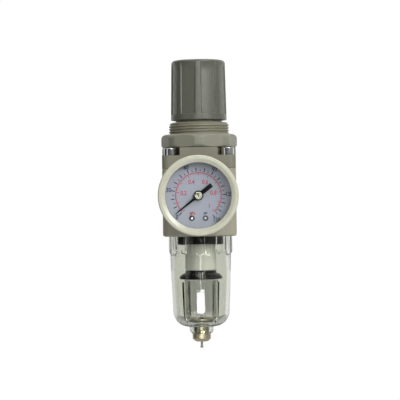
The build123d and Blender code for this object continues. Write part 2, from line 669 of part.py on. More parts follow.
def gauge_socket():
    """Brass threaded socket with a hexagon and the block that feeds the tube."""
    part = rod(GAUGE_PORT_R, SOCKET_TIP, SHANK_END) + rod(SOCKET_HEX / 2 - 0.4, SHANK_END, HEX_BACK)
    part += hexagon(SOCKET_HEX, HEX_BACK, HEX_FRONT) + rod(SOCKET_NECK_R, HEX_FRONT, TUBE_FORWARD - 2.5)
    part += socket_block()
    return part - rod(GAUGE_PASSAGE_R, SOCKET_TIP - 1, TUBE_FORWARD - 0.5)


def socket_block():
    """The block inside the gauge that the curved tube is soldered to."""
    return block(9.0, 16.5, CASE_BACK + CASE_WALL, BLOCK_FRONT, y=-7.0)


def gauge_case():
    """Steel can of the gauge."""
    can = rod(CASE_R, CASE_BACK, CASE_FRONT)
    can = fillet(can.edges().group_by(Axis.Z)[0], 1.2)
    can -= rod(CASE_R - CASE_WALL, CASE_BACK + CASE_WALL, CASE_FRONT + 1)
    return can - rod(SOCKET_NECK_R, CASE_BACK - 1, CASE_BACK + CASE_WALL + 1)


def gauge_bezel():
    """Rounded ring that holds the window on the case."""
    crown_r = BEZEL_R - 2.05
    outer = Polyline((BEZEL_R - 0.5, BEZEL_BACK), (BEZEL_R, BEZEL_BACK + 0.5), (BEZEL_R, 51.0))
    crown = ThreePointArc((BEZEL_R, 51.0), (BEZEL_R - 0.75, 53.2), (crown_r, BEZEL_FRONT))
    lip = ThreePointArc((crown_r, BEZEL_FRONT), (BEZEL_INNER_R + 0.6, 53.6), (BEZEL_INNER_R, 52.5))
    inner = Polyline((BEZEL_INNER_R, 52.5), (BEZEL_INNER_R, WINDOW_FRONT), (WINDOW_R, WINDOW_FRONT))
    seat = Polyline((WINDOW_R, WINDOW_FRONT), (WINDOW_R, CASE_FRONT), (CASE_R, CASE_FRONT),
                    (CASE_R, BEZEL_BACK))
    back = Line((CASE_R, BEZEL_BACK), (BEZEL_R - 0.5, BEZEL_BACK))
    profile = make_face([*outer.edges(), crown, lip, *inner.edges(), *seat.edges(), back])
    return revolve(Plane.XZ * profile, Axis.Z)


def gauge_window():
    """Clear flat window."""
    return rod(WINDOW_R, WINDOW_BACK, WINDOW_FRONT)


def gauge_dial():
    """Dial plate with holes for the shaft, the screws and the stop pin."""
    low = DIAL_FACE - DIAL_PLATE
    plate = rod(DIAL_R, low, DIAL_FACE) - rod(2 * SHAFT_R, low - 1, DIAL_FACE + 1)
    for x in (-DIAL_SCREW_X, DIAL_SCREW_X):
        plate -= rod(DIAL_HOLE_R, low - 1, DIAL_FACE + 1, x, DIAL_SCREW_Y)
    return plate


def dial_screws():
    """Two small screws that hold the dial on the movement."""
    slot = block(4, 0.4, DIAL_FACE + 0.4, DIAL_FACE + 1)
    screw = rod(DIAL_SCREW_R, DIAL_FACE, DIAL_FACE + 0.7) + rod(DIAL_HOLE_R, FRONT_PLATE + PLATE, DIAL_FACE)
    screw -= slot
    return Compound([Pos(x, DIAL_SCREW_Y, 0) * screw for x in (-DIAL_SCREW_X, DIAL_SCREW_X)])


def gauge_stop_pin():
    """Stop pin beside the zero mark."""
    angle = math.radians(STOP_ANGLE)
    return rod(0.35, DIAL_FACE, STOP_FRONT, STOP_R * math.cos(angle), STOP_R * math.sin(angle))


def bourdon_tube():
    """Curved flattened tube that uncurls with pressure."""
    section = Plane.XZ * Pos(TUBE_R, TUBE_FORWARD) * RectangleRounded(1.6, 4.4, 0.7)
    tube = revolve(section, Axis.Z, revolution_arc=TUBE_ARC)
    return Rot(0, 0, TUBE_START) * tube - socket_block()


def movement_plates():
    """Two brass plates with pillars that carry the shafts."""
    back_front = BACK_PLATE + PLATE
    front_front = FRONT_PLATE + PLATE
    plate = extrude(Pos(0, -5.8) * RectangleRounded(13.0, 15.6, 2.0), PLATE)
    plates = Pos(0, 0, BACK_PLATE) * plate + Pos(0, 0, FRONT_PLATE) * plate
    for x in (-5.0, 5.0):
        plates += rod(0.9, back_front, FRONT_PLATE, x, 0.3)
    for x in (-DIAL_SCREW_X, DIAL_SCREW_X):
        post = rod(1.3, front_front, DIAL_FACE - DIAL_PLATE, x, DIAL_SCREW_Y)
        plates += post - rod(DIAL_HOLE_R, front_front, DIAL_FACE, x, DIAL_SCREW_Y)
    plates -= rod(SHAFT_HOLE_R, BACK_PLATE - 1, front_front + 1)
    return plates - rod(SHAFT_HOLE_R, BACK_PLATE - 1, front_front + 1, 0, SECTOR_PIVOT)


def toothed(count, first, last, pitch_r, root_r):
    """Straight-sided gear teeth about Z, from one tooth number to another."""
    tip = pitch_r + 0.7 * GEAR_MODULE
    half_tip = 0.25 * GEAR_MODULE
    half_root = 0.7 * GEAR_MODULE
    outline = [(root_r - 0.1, -half_root), (tip, -half_tip), (tip, half_tip), (root_r - 0.1, half_root)]
    tooth = make_face(Polyline(*outline, close=True))
    return [Rot(0, 0, index * 360 / count) * tooth for index in range(first, last)]


def sector_gear():
    """Toothed quadrant with its tail and pivot shaft."""
    root = SECTOR_R - 0.75 * GEAR_MODULE
    first = -round(SECTOR_TEETH * 36 / 360)
    last = round(SECTOR_TEETH * 9 / 360)
    half_pitch = 180 / SECTOR_TEETH
    rim = Circle(root) - Circle(root - 1.6)
    wedge = Polygon((0, 0), (14, -11), (14, 2.4), align=None)
    middle = Rot(0, 0, 180 - SECTOR_SWING / 2)
    arm = middle * Pos(-root / 2, 0) * Rectangle(root - 0.6, 1.4)
    tail = middle * Pos(2.0, 0) * Rectangle(4.0, 1.6)
    flat = (rim & wedge) + arm + tail + Circle(1.5)
    flat += [Rot(0, 0, half_pitch) * tooth for tooth in toothed(SECTOR_TEETH, first, last, SECTOR_R, root)]
    part = Rot(0, 0, 90) * extrude(flat, SECTOR_PLATE)
    shaft = rod(SHAFT_R, SHAFT_BACK, FRONT_PLATE + 1.3)
    return Pos(0, SECTOR_PIVOT, 0) * (Pos(0, 0, SECTOR_BACK) * part + shaft)


def pinion():
    """Pointer shaft with its small gear."""
    root = PINION_R - 0.75 * GEAR_MODULE
    gear = Circle(root) + toothed(PINION_TEETH, 0, PINION_TEETH, PINION_R, root)
    gear = extrude(Rot(0, 0, 90) * gear, SECTOR_PLATE + 0.4)
    return Pos(0, 0, SECTOR_BACK - 0.2) * gear + rod(SHAFT_R, SHAFT_BACK, POINTER_FRONT + 0.6)


def pointer():
    """Needle with its wide tail, at the angle where it rests."""
    needle = Polyline((-8.9, -1.2), (-3.6, -1.2), (-2.4, -0.8), (15.4, -0.2), (15.4, 0.2), (-2.4, 0.8),
                      (-3.6, 1.2), (-8.9, 1.2), close=True)
    flat = make_face(needle) + Circle(2.0) - Circle(SHAFT_R)
    return Rot(0, 0, REST_ANGLE) * Pos(0, 0, POINTER_BACK) * extrude(flat, POINTER_FRONT - POINTER_BACK)


def pointer_hub():
    """Pressed hub with a round cap on the needle."""
    shaft_end = POINTER_FRONT + 0.6
    hub = ring(HUB_COLLAR_R, SHAFT_R, POINTER_FRONT, POINTER_FRONT + 0.4)
    hub += ring(HUB_CAP_R, SHAFT_R, POINTER_FRONT + 0.4, shaft_end)
    hub += rod(HUB_CAP_R, shaft_end, HUB_FRONT)
    return fillet(hub.edges().group_by(Axis.Z)[-1], 0.25)


def bowl_o_ring():
    """Bowl seal above the rim of the bowl."""
    return Pos(0, 0, BOWL_NECK_TOP + 1) * Torus(14.15, 0.85)


def valve_guide_o_ring():
    """Seal round the valve guide."""
    return Pos(0, 0, GUIDE_TOP - 1.65) * Torus(CLEAN_R - 0.53, 0.45)


def in_gauge(make):
    """A maker whose piece is laid out forward along the gauge axis."""
    return lambda: GAUGE * make()


PIECES = {
    "regulator_body": regulator_body,
    "bonnet": bonnet,
    "ring_nut": ring_nut,
    "bonnet_screws": bonnet_screws,
    "diaphragm": diaphragm,
    "diaphragm_plate": diaphragm_plate,
    "diaphragm_hub": diaphragm_hub,
    "main_spring": main_spring,
    "spring_nut": spring_nut,
    "adjusting_screw": adjusting_screw,
    "thrust_washer": thrust_washer,
    "screw_clip": screw_clip,
    "knob": knob,
    "valve_stem": valve_stem,
    "valve_rubber": valve_rubber,
    "valve_spring": valve_spring,
    "valve_guide": valve_guide,
    "valve_guide_o_ring": valve_guide_o_ring,
    "deflector": deflector,
    "filter_element": filter_element,
    "baffle": baffle,
    "rear_plug": rear_plug,
    "bowl_o_ring": bowl_o_ring,
    "bowl": bowl,
    "drain_body": drain_body,
    "drain_gasket": drain_gasket,
    "drain_nut": drain_nut,
    "drain_stem": drain_stem,
    "drain_seal": drain_seal,
    "drain_spring": drain_spring,
    "gauge_socket": in_gauge(gauge_socket),
    "gauge_case": in_gauge(gauge_case),
    "gauge_bezel": in_gauge(gauge_bezel),
    "gauge_window": in_gauge(gauge_window),
    "gauge_dial": in_gauge(gauge_dial),
    "dial_screws": in_gauge(dial_screws),
    "gauge_stop_pin": in_gauge(gauge_stop_pin),
    "bourdon_tube": in_gauge(bourdon_tube),
    "movement_plates": in_gauge(movement_plates),
    "sector_gear": in_gauge(sector_gear),
    "pinion": in_gauge(pinion),
    "pointer": in_gauge(pointer),
    "pointer_hub": in_gauge(pointer_hub),
}

os.makedirs("parts", exist_ok=True)
for name, make in PIECES.items():
    export_step(make(), "parts/" + name + ".step")
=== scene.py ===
import logging
import math
from dataclasses import dataclass, field
from enum import Enum
from functools import cache
from typing import Callable, Optional, Sequence

import bpy
import bmesh
from mathutils import Matrix, Vector


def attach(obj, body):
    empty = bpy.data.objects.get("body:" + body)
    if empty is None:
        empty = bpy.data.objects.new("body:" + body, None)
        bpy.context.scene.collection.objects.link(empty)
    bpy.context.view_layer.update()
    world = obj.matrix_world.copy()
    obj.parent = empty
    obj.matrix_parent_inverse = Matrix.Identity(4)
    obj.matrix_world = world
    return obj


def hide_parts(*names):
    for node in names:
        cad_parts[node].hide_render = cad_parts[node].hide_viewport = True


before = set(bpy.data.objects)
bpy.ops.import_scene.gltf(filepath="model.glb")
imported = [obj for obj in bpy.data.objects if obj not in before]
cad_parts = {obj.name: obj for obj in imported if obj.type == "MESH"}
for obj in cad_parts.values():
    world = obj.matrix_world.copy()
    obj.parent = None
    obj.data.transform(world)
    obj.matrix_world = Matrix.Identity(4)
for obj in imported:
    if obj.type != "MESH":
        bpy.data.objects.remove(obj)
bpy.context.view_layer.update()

LOG = logging.getLogger("filter_regulator")
MM = 0.001

Ring = list[tuple[float, float, float]]
Profile = list[tuple[float, float]]
RadiusRule = Callable[[float, float, float], float]
Colour = tuple[float, float, float]

PORT_Z = -33.7
"""Height of the ports and of the gauge axis, in millimetres."""


class Lay(Enum):
    """How a piece that is laid out about its own Z axis sits in the frame."""

    MAIN = "main axis, upwards"
    GAUGE = "gauge axis, forwards"
    REAR = "gauge axis, backwards"
    OUTLET = "port axis, to the outlet"
    INLET = "port axis, to the inlet"

    def matrix(self) -> Matrix:
        """Give the turn and shift from the piece's own millimetres to the frame's metres.

        Returns:
            The placing matrix, with the change of units in it.
        """
        turns = {
            Lay.MAIN: Matrix.Identity(4),
            Lay.GAUGE: Matrix.Rotation(math.radians(90), 4, "X"),
            Lay.REAR: Matrix.Rotation(math.radians(-90), 4, "X"),
            Lay.OUTLET: Matrix.Rotation(math.radians(90), 4, "Y"),
            Lay.INLET: Matrix.Rotation(math.radians(-90), 4, "Y"),
        }
        lift = 0.0 if self is Lay.MAIN else PORT_Z
        return Matrix.Scale(MM, 4) @ Matrix.Translation((0, 0, lift)) @ turns[self]


class Body(Enum):
    """The moving bodies of the part."""

    HOUSING = "housing"
    ADJUSTER = "adjuster"
    KNOB = "knob_body"
    POINTER = "pointer_body"
    BOWL = "bowl_body"
    DRAIN = "drain_pin"


def smoothstep(low: float, high: float, value: float) -> float:
    """Blend from 0 at low to 1 at high.

    Args:
        low: Value where the blend starts.
        high: Value where the blend ends.
        value: Value to blend at.

    Returns:
        A number from 0 to 1.
    """
    share = min(1.0, max(0.0, (value - low) / (high - low)))
    return share * share * (3 - 2 * share)


def rounded(corners: Sequence[tuple[float, float, float]], steps: int = 5, closed: bool = False) -> Profile:
    """Round the corners of a profile.

    Args:
        corners: Points as (radius, level, corner radius).
        steps: Points along each rounded corner.
        closed: Whether the profile returns to its first point.

    Returns:
        The profile's points, each corner replaced by an arc.
    """
    points: Profile = []
    count = len(corners)
    for index, (x, y, size) in enumerate(corners):
        here = Vector((x, y))
        ends = not closed and index in (0, count - 1)
        if size <= 0 or ends:
            points.append((x, y))
            continue
        before = Vector(corners[index - 1][:2]) - here
        after = Vector(corners[(index + 1) % count][:2]) - here
        half = before.angle(after) / 2
        reach = min(size / math.tan(half), before.length * 0.49, after.length * 0.49)
        start = here + before.normalized() * reach
        end = here + after.normalized() * reach
        bulge = reach * math.tan(half)
        middle = here + (before.normalized() + after.normalized()).normalized() * (bulge / math.sin(half))
        first = start - middle
        sweep = first.angle_signed(end - middle)
        for step in range(steps + 1):
            turn = Matrix.Rotation(-sweep * step / steps, 2)
            spot = middle + turn @ first
            points.append((spot.x, spot.y))
    return points


def arc_points(centre: tuple[float, float], radius: float, start: float, end: float, steps: int = 12) -> Profile:
    """Give points along an arc of a profile.

    Args:
        centre: Centre as (radius, level).
        radius: Radius of the arc.
        start: First angle in degrees, from outwards.
        end: Last angle in degrees.
        steps: Number of parts.

    Returns:
        The points from start to end.
    """
    turns = [math.radians(start + (end - start) * step / steps) for step in range(steps + 1)]
    return [(centre[0] + radius * math.cos(turn), centre[1] + radius * math.sin(turn)) for turn in turns]


def mesh_piece(name: str, verts: Sequence[Vector], faces: Sequence[Sequence[int]],
               lay: Lay = Lay.MAIN, sharp: float = 32.0) -> bpy.types.Object:
    """Make an object from points in the piece's own millimetres.

    Args:
        name: Name of the piece.
        verts: Points in millimetres.
        faces: Corner numbers of each face.
        lay: How the piece sits in the frame.
        sharp: Angle in degrees above which an edge stays crisp.

    Returns:
        The new object, with welded points and outward faces.
    """
    mesh = bpy.data.meshes.new(name)
    mesh.from_pydata([tuple(v) for v in verts], [], [tuple(f) for f in faces])
    work = bmesh.new()
    work.from_mesh(mesh)
    bmesh.ops.remove_doubles(work, verts=work.verts, dist=1e-4)
    bmesh.ops.dissolve_degenerate(work, edges=work.edges, dist=1e-5)
    bmesh.ops.recalc_face_normals(work, faces=work.faces)
    work.to_mesh(mesh)
    work.free()
    mesh.transform(lay.matrix())
    return finish_mesh(bpy.data.objects.new(name, mesh), sharp)


def finish_mesh(piece: bpy.types.Object, sharp: float) -> bpy.types.Object:
    """Shade a piece smooth between its crisp edges and link it.

    Args:
        piece: The object to shade.
        sharp: Angle in degrees above which an edge stays crisp.

    Returns:
        The same object.
    """
    piece.data.polygons.foreach_set("use_smooth", [True] * len(piece.data.polygons))
    piece.data.set_sharp_from_angle(angle=math.radians(sharp))
    piece.data.update()
    if piece.name not in bpy.context.scene.collection.objects:
        bpy.context.scene.collection.objects.link(piece)
    return piece


def even_normals(piece: bpy.types.Object) -> None:
    """Keep wide faces flat where they meet small rounded edges.

    Args:
        piece: The piece whose shading is evened.
    """
    step = piece.modifiers.new("even", "WEIGHTED_NORMAL")
    step.keep_sharp = True
    mesh = evaluated(piece)
    piece.modifiers.clear()
    piece.data = mesh


def skin(rings: Sequence[Ring], closed: bool) -> tuple[list[Vector], list[list[int]]]:
    """Join rings of equal count into a skin.

    Args:
        rings: Rings of points, each closed on itself.
        closed: Whether the last ring joins the first.

    Returns:
        The points and the faces, with flat caps where the skin is open.
    """
    count = len(rings[0])
    verts = [Vector(p) for ring in rings for p in ring]
    faces = []
    spans = len(rings) if closed else len(rings) - 1
    for row in range(spans):
        low, high = row * count, ((row + 1) % len(rings)) * count
        for i in range(count):
            j = (i + 1) % count
            faces.append([low + i, low + j, high + j, high + i])
    if not closed:
        faces.append(list(range(count)))
        faces.append([(len(rings) - 1) * count + i for i in reversed(range(count))])
    return verts, faces


def lathe(name: str, profile: Profile, lay: Lay = Lay.MAIN, angles: Optional[Sequence[float]] = None,
          rule: Optional[RadiusRule] = None, segments: int = 96, sharp: float = 32.0) -> bpy.types.Object:
    """Turn a closed profile about the piece's own Z axis.

    Args:
        name: Name of the piece.
        profile: Closed outline as (radius, level) points.
        lay: How the piece sits in the frame.
        angles: Angles of the rings' points in degrees, evenly spaced if left out.
        rule: Changes a radius at (radius, level, angle in degrees), for ribs and flats.
        segments: Number of points in a ring where no angles are given.
        sharp: Angle in degrees above which an edge stays crisp.

    Returns:
        The turned piece.
    """
    spots = list(angles) if angles else [360.0 * i / segments for i in range(segments)]
    rings: list[Ring] = []
    for radius, level in profile:
        ring: Ring = []
        for angle in spots:
            here = rule(radius, level, angle) if rule else radius
            turn = math.radians(angle)
            ring.append((here * math.cos(turn), here * math.sin(turn), level))
        rings.append(ring)
    verts, faces = skin(rings, closed=True)
    return mesh_piece(name, verts, faces, lay, sharp)


def stack(name: str, outline: Sequence[tuple[float, float]], levels: Sequence[tuple[float, float]],
          lay: Lay = Lay.MAIN, sharp: float = 32.0) -> bpy.types.Object:
    """Extrude a convex outline whose edge is drawn in at some levels.

    Args:
        name: Name of the piece.
        outline: Points of the outline, anticlockwise.
        levels: Pairs of (level, inset) from one end to the other.
        lay: How the piece sits in the frame.
        sharp: Angle in degrees above which an edge stays crisp.

    Returns:
        The extruded piece with flat ends.
    """
    count = len(outline)
    rings: list[Ring] = []
    for level, inset in levels:
        ring: Ring = []
        for i, (x, y) in enumerate(outline):
            along = Vector(outline[(i + 1) % count]) - Vector(outline[i - 1])
            inward = Vector((-along.y, along.x)).normalized()
            ring.append((x + inward.x * inset, y + inward.y * inset, level))
        rings.append(ring)
    verts, faces = skin(rings, closed=False)
    return mesh_piece(name, verts, faces, lay, sharp)


def square_outline(width: float, corner: float, steps: int = 10) -> list[tuple[float, float]]:
    """Give a square outline with rounded corners.

    Args:
        width: Side of the square.
        corner: Radius of the corners.
        steps: Points along a corner.

    Returns:
        The outline's points, anticlockwise.
    """
    points = []
    inner = width / 2 - corner
    for quarter, (sx, sy) in enumerate(((1, 1), (-1, 1), (-1, -1), (1, -1))):
        for step in range(steps + 1):
            turn = math.radians(90 * quarter + 90 * step / steps)
            points.append((sx * inner + corner * math.cos(turn), sy * inner + corner * math.sin(turn)))
    return points


def polygon_outline(flats: float, sides: int, turn: float = 0.0) -> list[tuple[float, float]]:
    """Give a regular outline by its width across the flats.

    Args:
        flats: Distance between opposite flats.
        sides: Number of sides.
        turn: Turn of the first corner in degrees.

    Returns:
        The outline's points, anticlockwise.
    """
    radius = flats / 2 / math.cos(math.pi / sides)
    spots = [math.radians(turn + 360 * i / sides) for i in range(sides)]
    return [(radius * math.cos(a), radius * math.sin(a)) for a in spots]


def shift(piece: bpy.types.Object, x: float = 0.0, y: float = 0.0, z: float = 0.0) -> bpy.types.Object:
    """Move a piece's mesh by millimetres along the frame's axes.

    Args:
        piece: The piece to move.
        x: Shift along X.
        y: Shift along Y.
        z: Shift along Z.

    Returns:
        The same piece.
    """
    piece.data.transform(Matrix.Translation((x * MM, y * MM, z * MM)))
    return piece


def evaluated(piece: bpy.types.Object) -> bpy.types.Mesh:
    """Give the mesh of an object with its modifiers, or of a text, in the frame's metres."""
    bpy.context.view_layer.update()
    graph = bpy.context.evaluated_depsgraph_get()
    mesh = bpy.data.meshes.new_from_object(piece.evaluated_get(graph))
    mesh.transform(piece.matrix_world)
    return mesh


def carve(piece: bpy.types.Object, cutters: Sequence[bpy.types.Object], sharp: float = 32.0,
          join: bool = False) -> bpy.types.Object:
    """Cut other pieces out of a piece, or join them to it.

    Args:
        piece: The piece to change.
        cutters: Pieces to cut or join, used up by this.
        sharp: Angle in degrees above which an edge stays crisp.
        join: Whether the others are joined instead of cut.

    Returns:
        The same piece with the result in its mesh.
    """
    for cutter in cutters:
        step = piece.modifiers.new("carve", "BOOLEAN")
        step.operation = "UNION" if join else "DIFFERENCE"
        step.solver = "EXACT"
        step.object = cutter
    mesh = evaluated(piece)
    piece.modifiers.clear()
    piece.data = mesh
    for cutter in cutters:
        bpy.data.objects.remove(cutter)
    return finish_mesh(piece, sharp)


def gather(name: str, pieces: Sequence[bpy.types.Object], sharp: float = 32.0) -> bpy.types.Object:
    """Put several meshes into one piece.

    Args:
        name: Name of the new piece.
        pieces: Pieces to put together, used up by this.
        sharp: Angle in degrees above which an edge stays crisp.

    Returns:
        The new piece.
    """
    work = bmesh.new()
    for piece in pieces:
        work.from_mesh(piece.data)
        bpy.data.objects.remove(piece)
    mesh = bpy.data.meshes.new(name)
    work.to_mesh(mesh)
    work.free()
    return finish_mesh(bpy.data.objects.new(name, mesh), sharp)


class Nodes:
    """A small helper that places and joins shader nodes."""

    def __init__(self, tree: bpy.types.NodeTree) -> None:
        """Keep the node tree that is being filled.

        Args:
            tree: Node tree of a material or of a group.
        """
        self.tree = tree

    def add(self, kind: str, **settings: object) -> bpy.types.Node:
        """Place a node and set its properties.

        Args:
            kind: Type name of the node.
            **settings: Properties to set on it.

        Returns:
            The new node.
        """
        node = self.tree.nodes.new(kind)
        for key, value in settings.items():
            setattr(node, key, value)
        return node

    def feed(self, node: bpy.types.Node, **inputs: object) -> bpy.types.Node:
        """Set or join a node's inputs by name, with underscores for spaces.

        Args:
            node: The node to feed.
            **inputs: Values or output sockets.

        Returns:
            The same node.
        """
        for key, value in inputs.items():
            socket = node.inputs[int(key[1:])] if key[0] == "_" else node.inputs[key.replace("_", " ")]
            if isinstance(value, bpy.types.NodeSocket):
                self.tree.links.new(value, socket)
            else:
                socket.default_value = value
        return node

    def math(self, operation: str, first: object, second: object = 0.0, clamp: bool = False) -> bpy.types.NodeSocket:
        """Place a math node.

        Args:
            operation: Name of the operation.
            first: First value or socket.
            second: Second value or socket.
            clamp: Whether the result is kept from 0 to 1.

        Returns:
            The node's output.
        """
        node = self.add("ShaderNodeMath", operation=operation, use_clamp=clamp)
        return self.feed(node, _0=first, _1=second).outputs[0]

    def blend(self, share: object, first: object, second: object, mode: str = "MIX") -> bpy.types.NodeSocket:
        """Place a colour mix node.

        Args:
            share: Share of the second colour.
            first: First colour or socket.
            second: Second colour or socket.
            mode: Name of the blend.

        Returns:
            The node's colour output.
        """
        node = self.add("ShaderNodeMix", data_type="RGBA", blend_type=mode)
        self.feed(node, _0=share, _6=first, _7=second)
        return node.outputs[2]

    def noise(self, scale: object, detail: float = 3.0, stretch: Optional[Sequence[float]] = None) -> bpy.types.NodeSocket:
        """Place a noise in the object's own place, in cells per metre.

        Args:
            scale: Cells per metre, a value or a socket.
            detail: Number of finer layers.
            stretch: Scale along each axis, for drawn or brushed marks.

        Returns:
            The noise's value output.
        """
        place = self.add("ShaderNodeTexCoord").outputs["Object"]
        if stretch:
            mapping = self.add("ShaderNodeMapping")
            place = self.feed(mapping, Vector=place, Scale=tuple(stretch)).outputs[0]
        node = self.add("ShaderNodeTexNoise")
        return self.feed(node, Vector=place, Scale=scale, Detail=detail).outputs[0]

    def ramp(self, value: bpy.types.NodeSocket, low: float, high: float, bottom: float = 0.0,
             top: float = 1.0) -> bpy.types.NodeSocket:
        """Place a smooth map range.

        Args:
            value: Socket to map.
            low: Value that gives the bottom.
            high: Value that gives the top.
            bottom: Result at the low value.
            top: Result at the high value.

        Returns:
            The mapped value.
        """
        node = self.add("ShaderNodeMapRange", interpolation_type="SMOOTHSTEP")
        return self.feed(node, _0=value, _1=low, _2=high, _3=bottom, _4=top).outputs[0]


class Effects:
    """The shader groups that several finishes share, each made once."""

    _made: dict[str, bpy.types.ShaderNodeTree] = {}

    @classmethod
    def _start(cls, name: str, inputs: Sequence[tuple[str, str, object]],
               outputs: Sequence[tuple[str, str]]) -> tuple[Nodes, bpy.types.Node, bpy.types.Node]:
        """Start a group with named sockets.

        Args:
            name: Name of the group.
            inputs: Name, socket type and default of each input.
            outputs: Name and socket type of each output.

        Returns:
            The helper, the group's input node and its output node.
        """
        tree = bpy.data.node_groups.new(name, "ShaderNodeTree")
        for label, kind, default in inputs:
            socket = tree.interface.new_socket(label, in_out="INPUT", socket_type=kind)
            socket.default_value = default
        for label, kind in outputs:
            tree.interface.new_socket(label, in_out="OUTPUT", socket_type=kind)
        cls._made[name] = tree
        nodes = Nodes(tree)
        return nodes, nodes.add("NodeGroupInput"), nodes.add("NodeGroupOutput")

    @classmethod
    def mottle(cls) -> bpy.types.ShaderNodeTree:
        """Make the slow change of tone that moulded and painted surfaces have.

        Returns:
            The group, from a colour to a varied colour.
        """
        if "mottle" in cls._made:
            return cls._made["mottle"]
        grey = (0.5, 0.5, 0.5, 1.0)
        sockets = [("Color", "NodeSocketColor", grey), ("Amount", "NodeSocketFloat", 0.1),
                   ("Scale", "NodeSocketFloat", 60.0)]
        nodes, given, result = cls._start("mottle", sockets, [("Color", "NodeSocketColor")])
        wide = nodes.noise(given.outputs["Scale"], 4.0)
        fine = nodes.noise(nodes.math("MULTIPLY", given.outputs["Scale"], 9.0), 2.0)
        both = nodes.math("ADD", nodes.math("MULTIPLY", wide, 0.7), nodes.math("MULTIPLY", fine, 0.3))
        swing = nodes.math("MULTIPLY", nodes.math("SUBTRACT", both, 0.5), given.outputs["Amount"])
        gain = nodes.math("ADD", nodes.math("MULTIPLY", swing, 2.0), 1.0)
        tone = nodes.add("ShaderNodeCombineColor")
        nodes.feed(tone, Red=gain, Green=gain, Blue=gain)
        varied = nodes.blend(1.0, given.outputs["Color"], tone.outputs[0], "MULTIPLY")
        nodes.feed(result, Color=varied)
        return cls._made["mottle"]

    @classmethod
    def edge_wear(cls) -> bpy.types.ShaderNodeTree:
        """Make the lighter, rubbed line along the edges.

        Returns:
            The group, from a colour to a worn colour and the mask of the wear.
        """
        if "edge_wear" in cls._made:
            return cls._made["edge_wear"]
        grey = (0.5, 0.5, 0.5, 1.0)
        sockets = [("Color", "NodeSocketColor", grey), ("Worn Color", "NodeSocketColor", grey),
                   ("Amount", "NodeSocketFloat", 0.5), ("Width", "NodeSocketFloat", 0.0004)]
        outputs = [("Color", "NodeSocketColor"), ("Mask", "NodeSocketFloat")]
        nodes, given, result = cls._start("edge_wear", sockets, outputs)
        bevel = nodes.add("ShaderNodeBevel", samples=4)
        nodes.feed(bevel, Radius=given.outputs["Width"])
        true_normal = nodes.add("ShaderNodeNewGeometry").outputs["Normal"]
        dot = nodes.add("ShaderNodeVectorMath", operation="DOT_PRODUCT")
        nodes.feed(dot, _0=bevel.outputs[0], _1=true_normal)
        edge = nodes.ramp(dot.outputs["Value"], 0.995, 0.9)
        patchy = nodes.ramp(nodes.noise(900.0, 3.0), 0.38, 0.6)
        mask = nodes.math("MULTIPLY", nodes.math("MULTIPLY", edge, patchy), given.outputs["Amount"], clamp=True)
        worn = nodes.blend(mask, given.outputs["Color"], given.outputs["Worn Color"])
        nodes.feed(result, Color=worn, Mask=mask)
        return cls._made["edge_wear"]

    @classmethod
    def dust(cls) -> bpy.types.ShaderNodeTree:
        """Make a thin, patchy layer of dust on surfaces that look up.

        Returns:
            The group, from a colour to a dusted colour and the mask of the dust.
        """
        if "dust" in cls._made:
            return cls._made["dust"]
        grey = (0.5, 0.5, 0.5, 1.0)
        sockets = [("Color", "NodeSocketColor", grey), ("Amount", "NodeSocketFloat", 0.2)]
        outputs = [("Color", "NodeSocketColor"), ("Mask", "NodeSocketFloat")]
        nodes, given, result = cls._start("dust", sockets, outputs)
        split = nodes.add("ShaderNodeSeparateXYZ")
        nodes.feed(split, _0=nodes.add("ShaderNodeNewGeometry").outputs["Normal"])
        upward = nodes.ramp(split.outputs[2], 0.2, 0.95)
        specks = nodes.ramp(nodes.noise(1400.0, 2.0), 0.45, 0.7)
        film = nodes.math("ADD", nodes.math("MULTIPLY", upward, specks), nodes.math("MULTIPLY", specks, 0.15))
        mask = nodes.math("MULTIPLY", film, given.outputs["Amount"], clamp=True)
        dusted = nodes.blend(mask, given.outputs["Color"], (0.62, 0.60, 0.55, 1.0))
        nodes.feed(result, Color=dusted, Mask=mask)
        return cls._made["dust"]

    @classmethod
    def film(cls) -> bpy.types.ShaderNodeTree:
        """Make painted shade: a darker patch low in the bowl, inside the square of the fins.

        Returns:
            The group, from a colour to the colour darkened by painted shade.
        """
        if "film" in cls._made:
            return cls._made["film"]
        sockets = [("Color", "NodeSocketColor", (0.5, 0.5, 0.5, 1.0)), ("Amount", "NodeSocketFloat", 0.0)]
        nodes, given, result = cls._start("film", sockets, [("Color", "NodeSocketColor")])
        split = nodes.add("ShaderNodeSeparateXYZ")
        nodes.feed(split, _0=nodes.add("ShaderNodeTexCoord").outputs["Object"])
        # Painted shade: inside the fins and low in the bowl the colour is blended towards black.
        across = nodes.ramp(nodes.math("ABSOLUTE", split.outputs[0]), 0.0076, 0.0086, 1.0, 0.0)
        below = nodes.ramp(split.outputs[2], -0.08, -0.0785, 1.0, 0.0)
        above = nodes.ramp(split.outputs[2], -0.1005, -0.0985)
        patch = nodes.math("MULTIPLY", nodes.math("MULTIPLY", across, below), above)
        mask = nodes.math("MULTIPLY", patch, given.outputs["Amount"])
        filmed = nodes.blend(mask, given.outputs["Color"], (0.0, 0.0, 0.0, 1.0))
        nodes.feed(result, Color=filmed)
        return cls._made["film"]

    @classmethod
    def grain(cls) -> bpy.types.ShaderNodeTree:
        """Make the fine height of a moulded or painted grain.

        Returns:
            The group, from a scale to a height.
        """
        if "grain" in cls._made:
            return cls._made["grain"]
        sockets = [("Scale", "NodeSocketFloat", 3000.0), ("Waves", "NodeSocketFloat", 120.0)]
        nodes, given, result = cls._start("grain", sockets, [("Height", "NodeSocketFloat")])
        pores = nodes.noise(given.outputs["Scale"], 2.0)
        waves = nodes.noise(given.outputs["Waves"], 1.0)
        height = nodes.math("ADD", nodes.math("MULTIPLY", pores, 0.5), nodes.math("MULTIPLY", waves, 1.5))
        nodes.feed(result, Height=height)
        return cls._made["grain"]


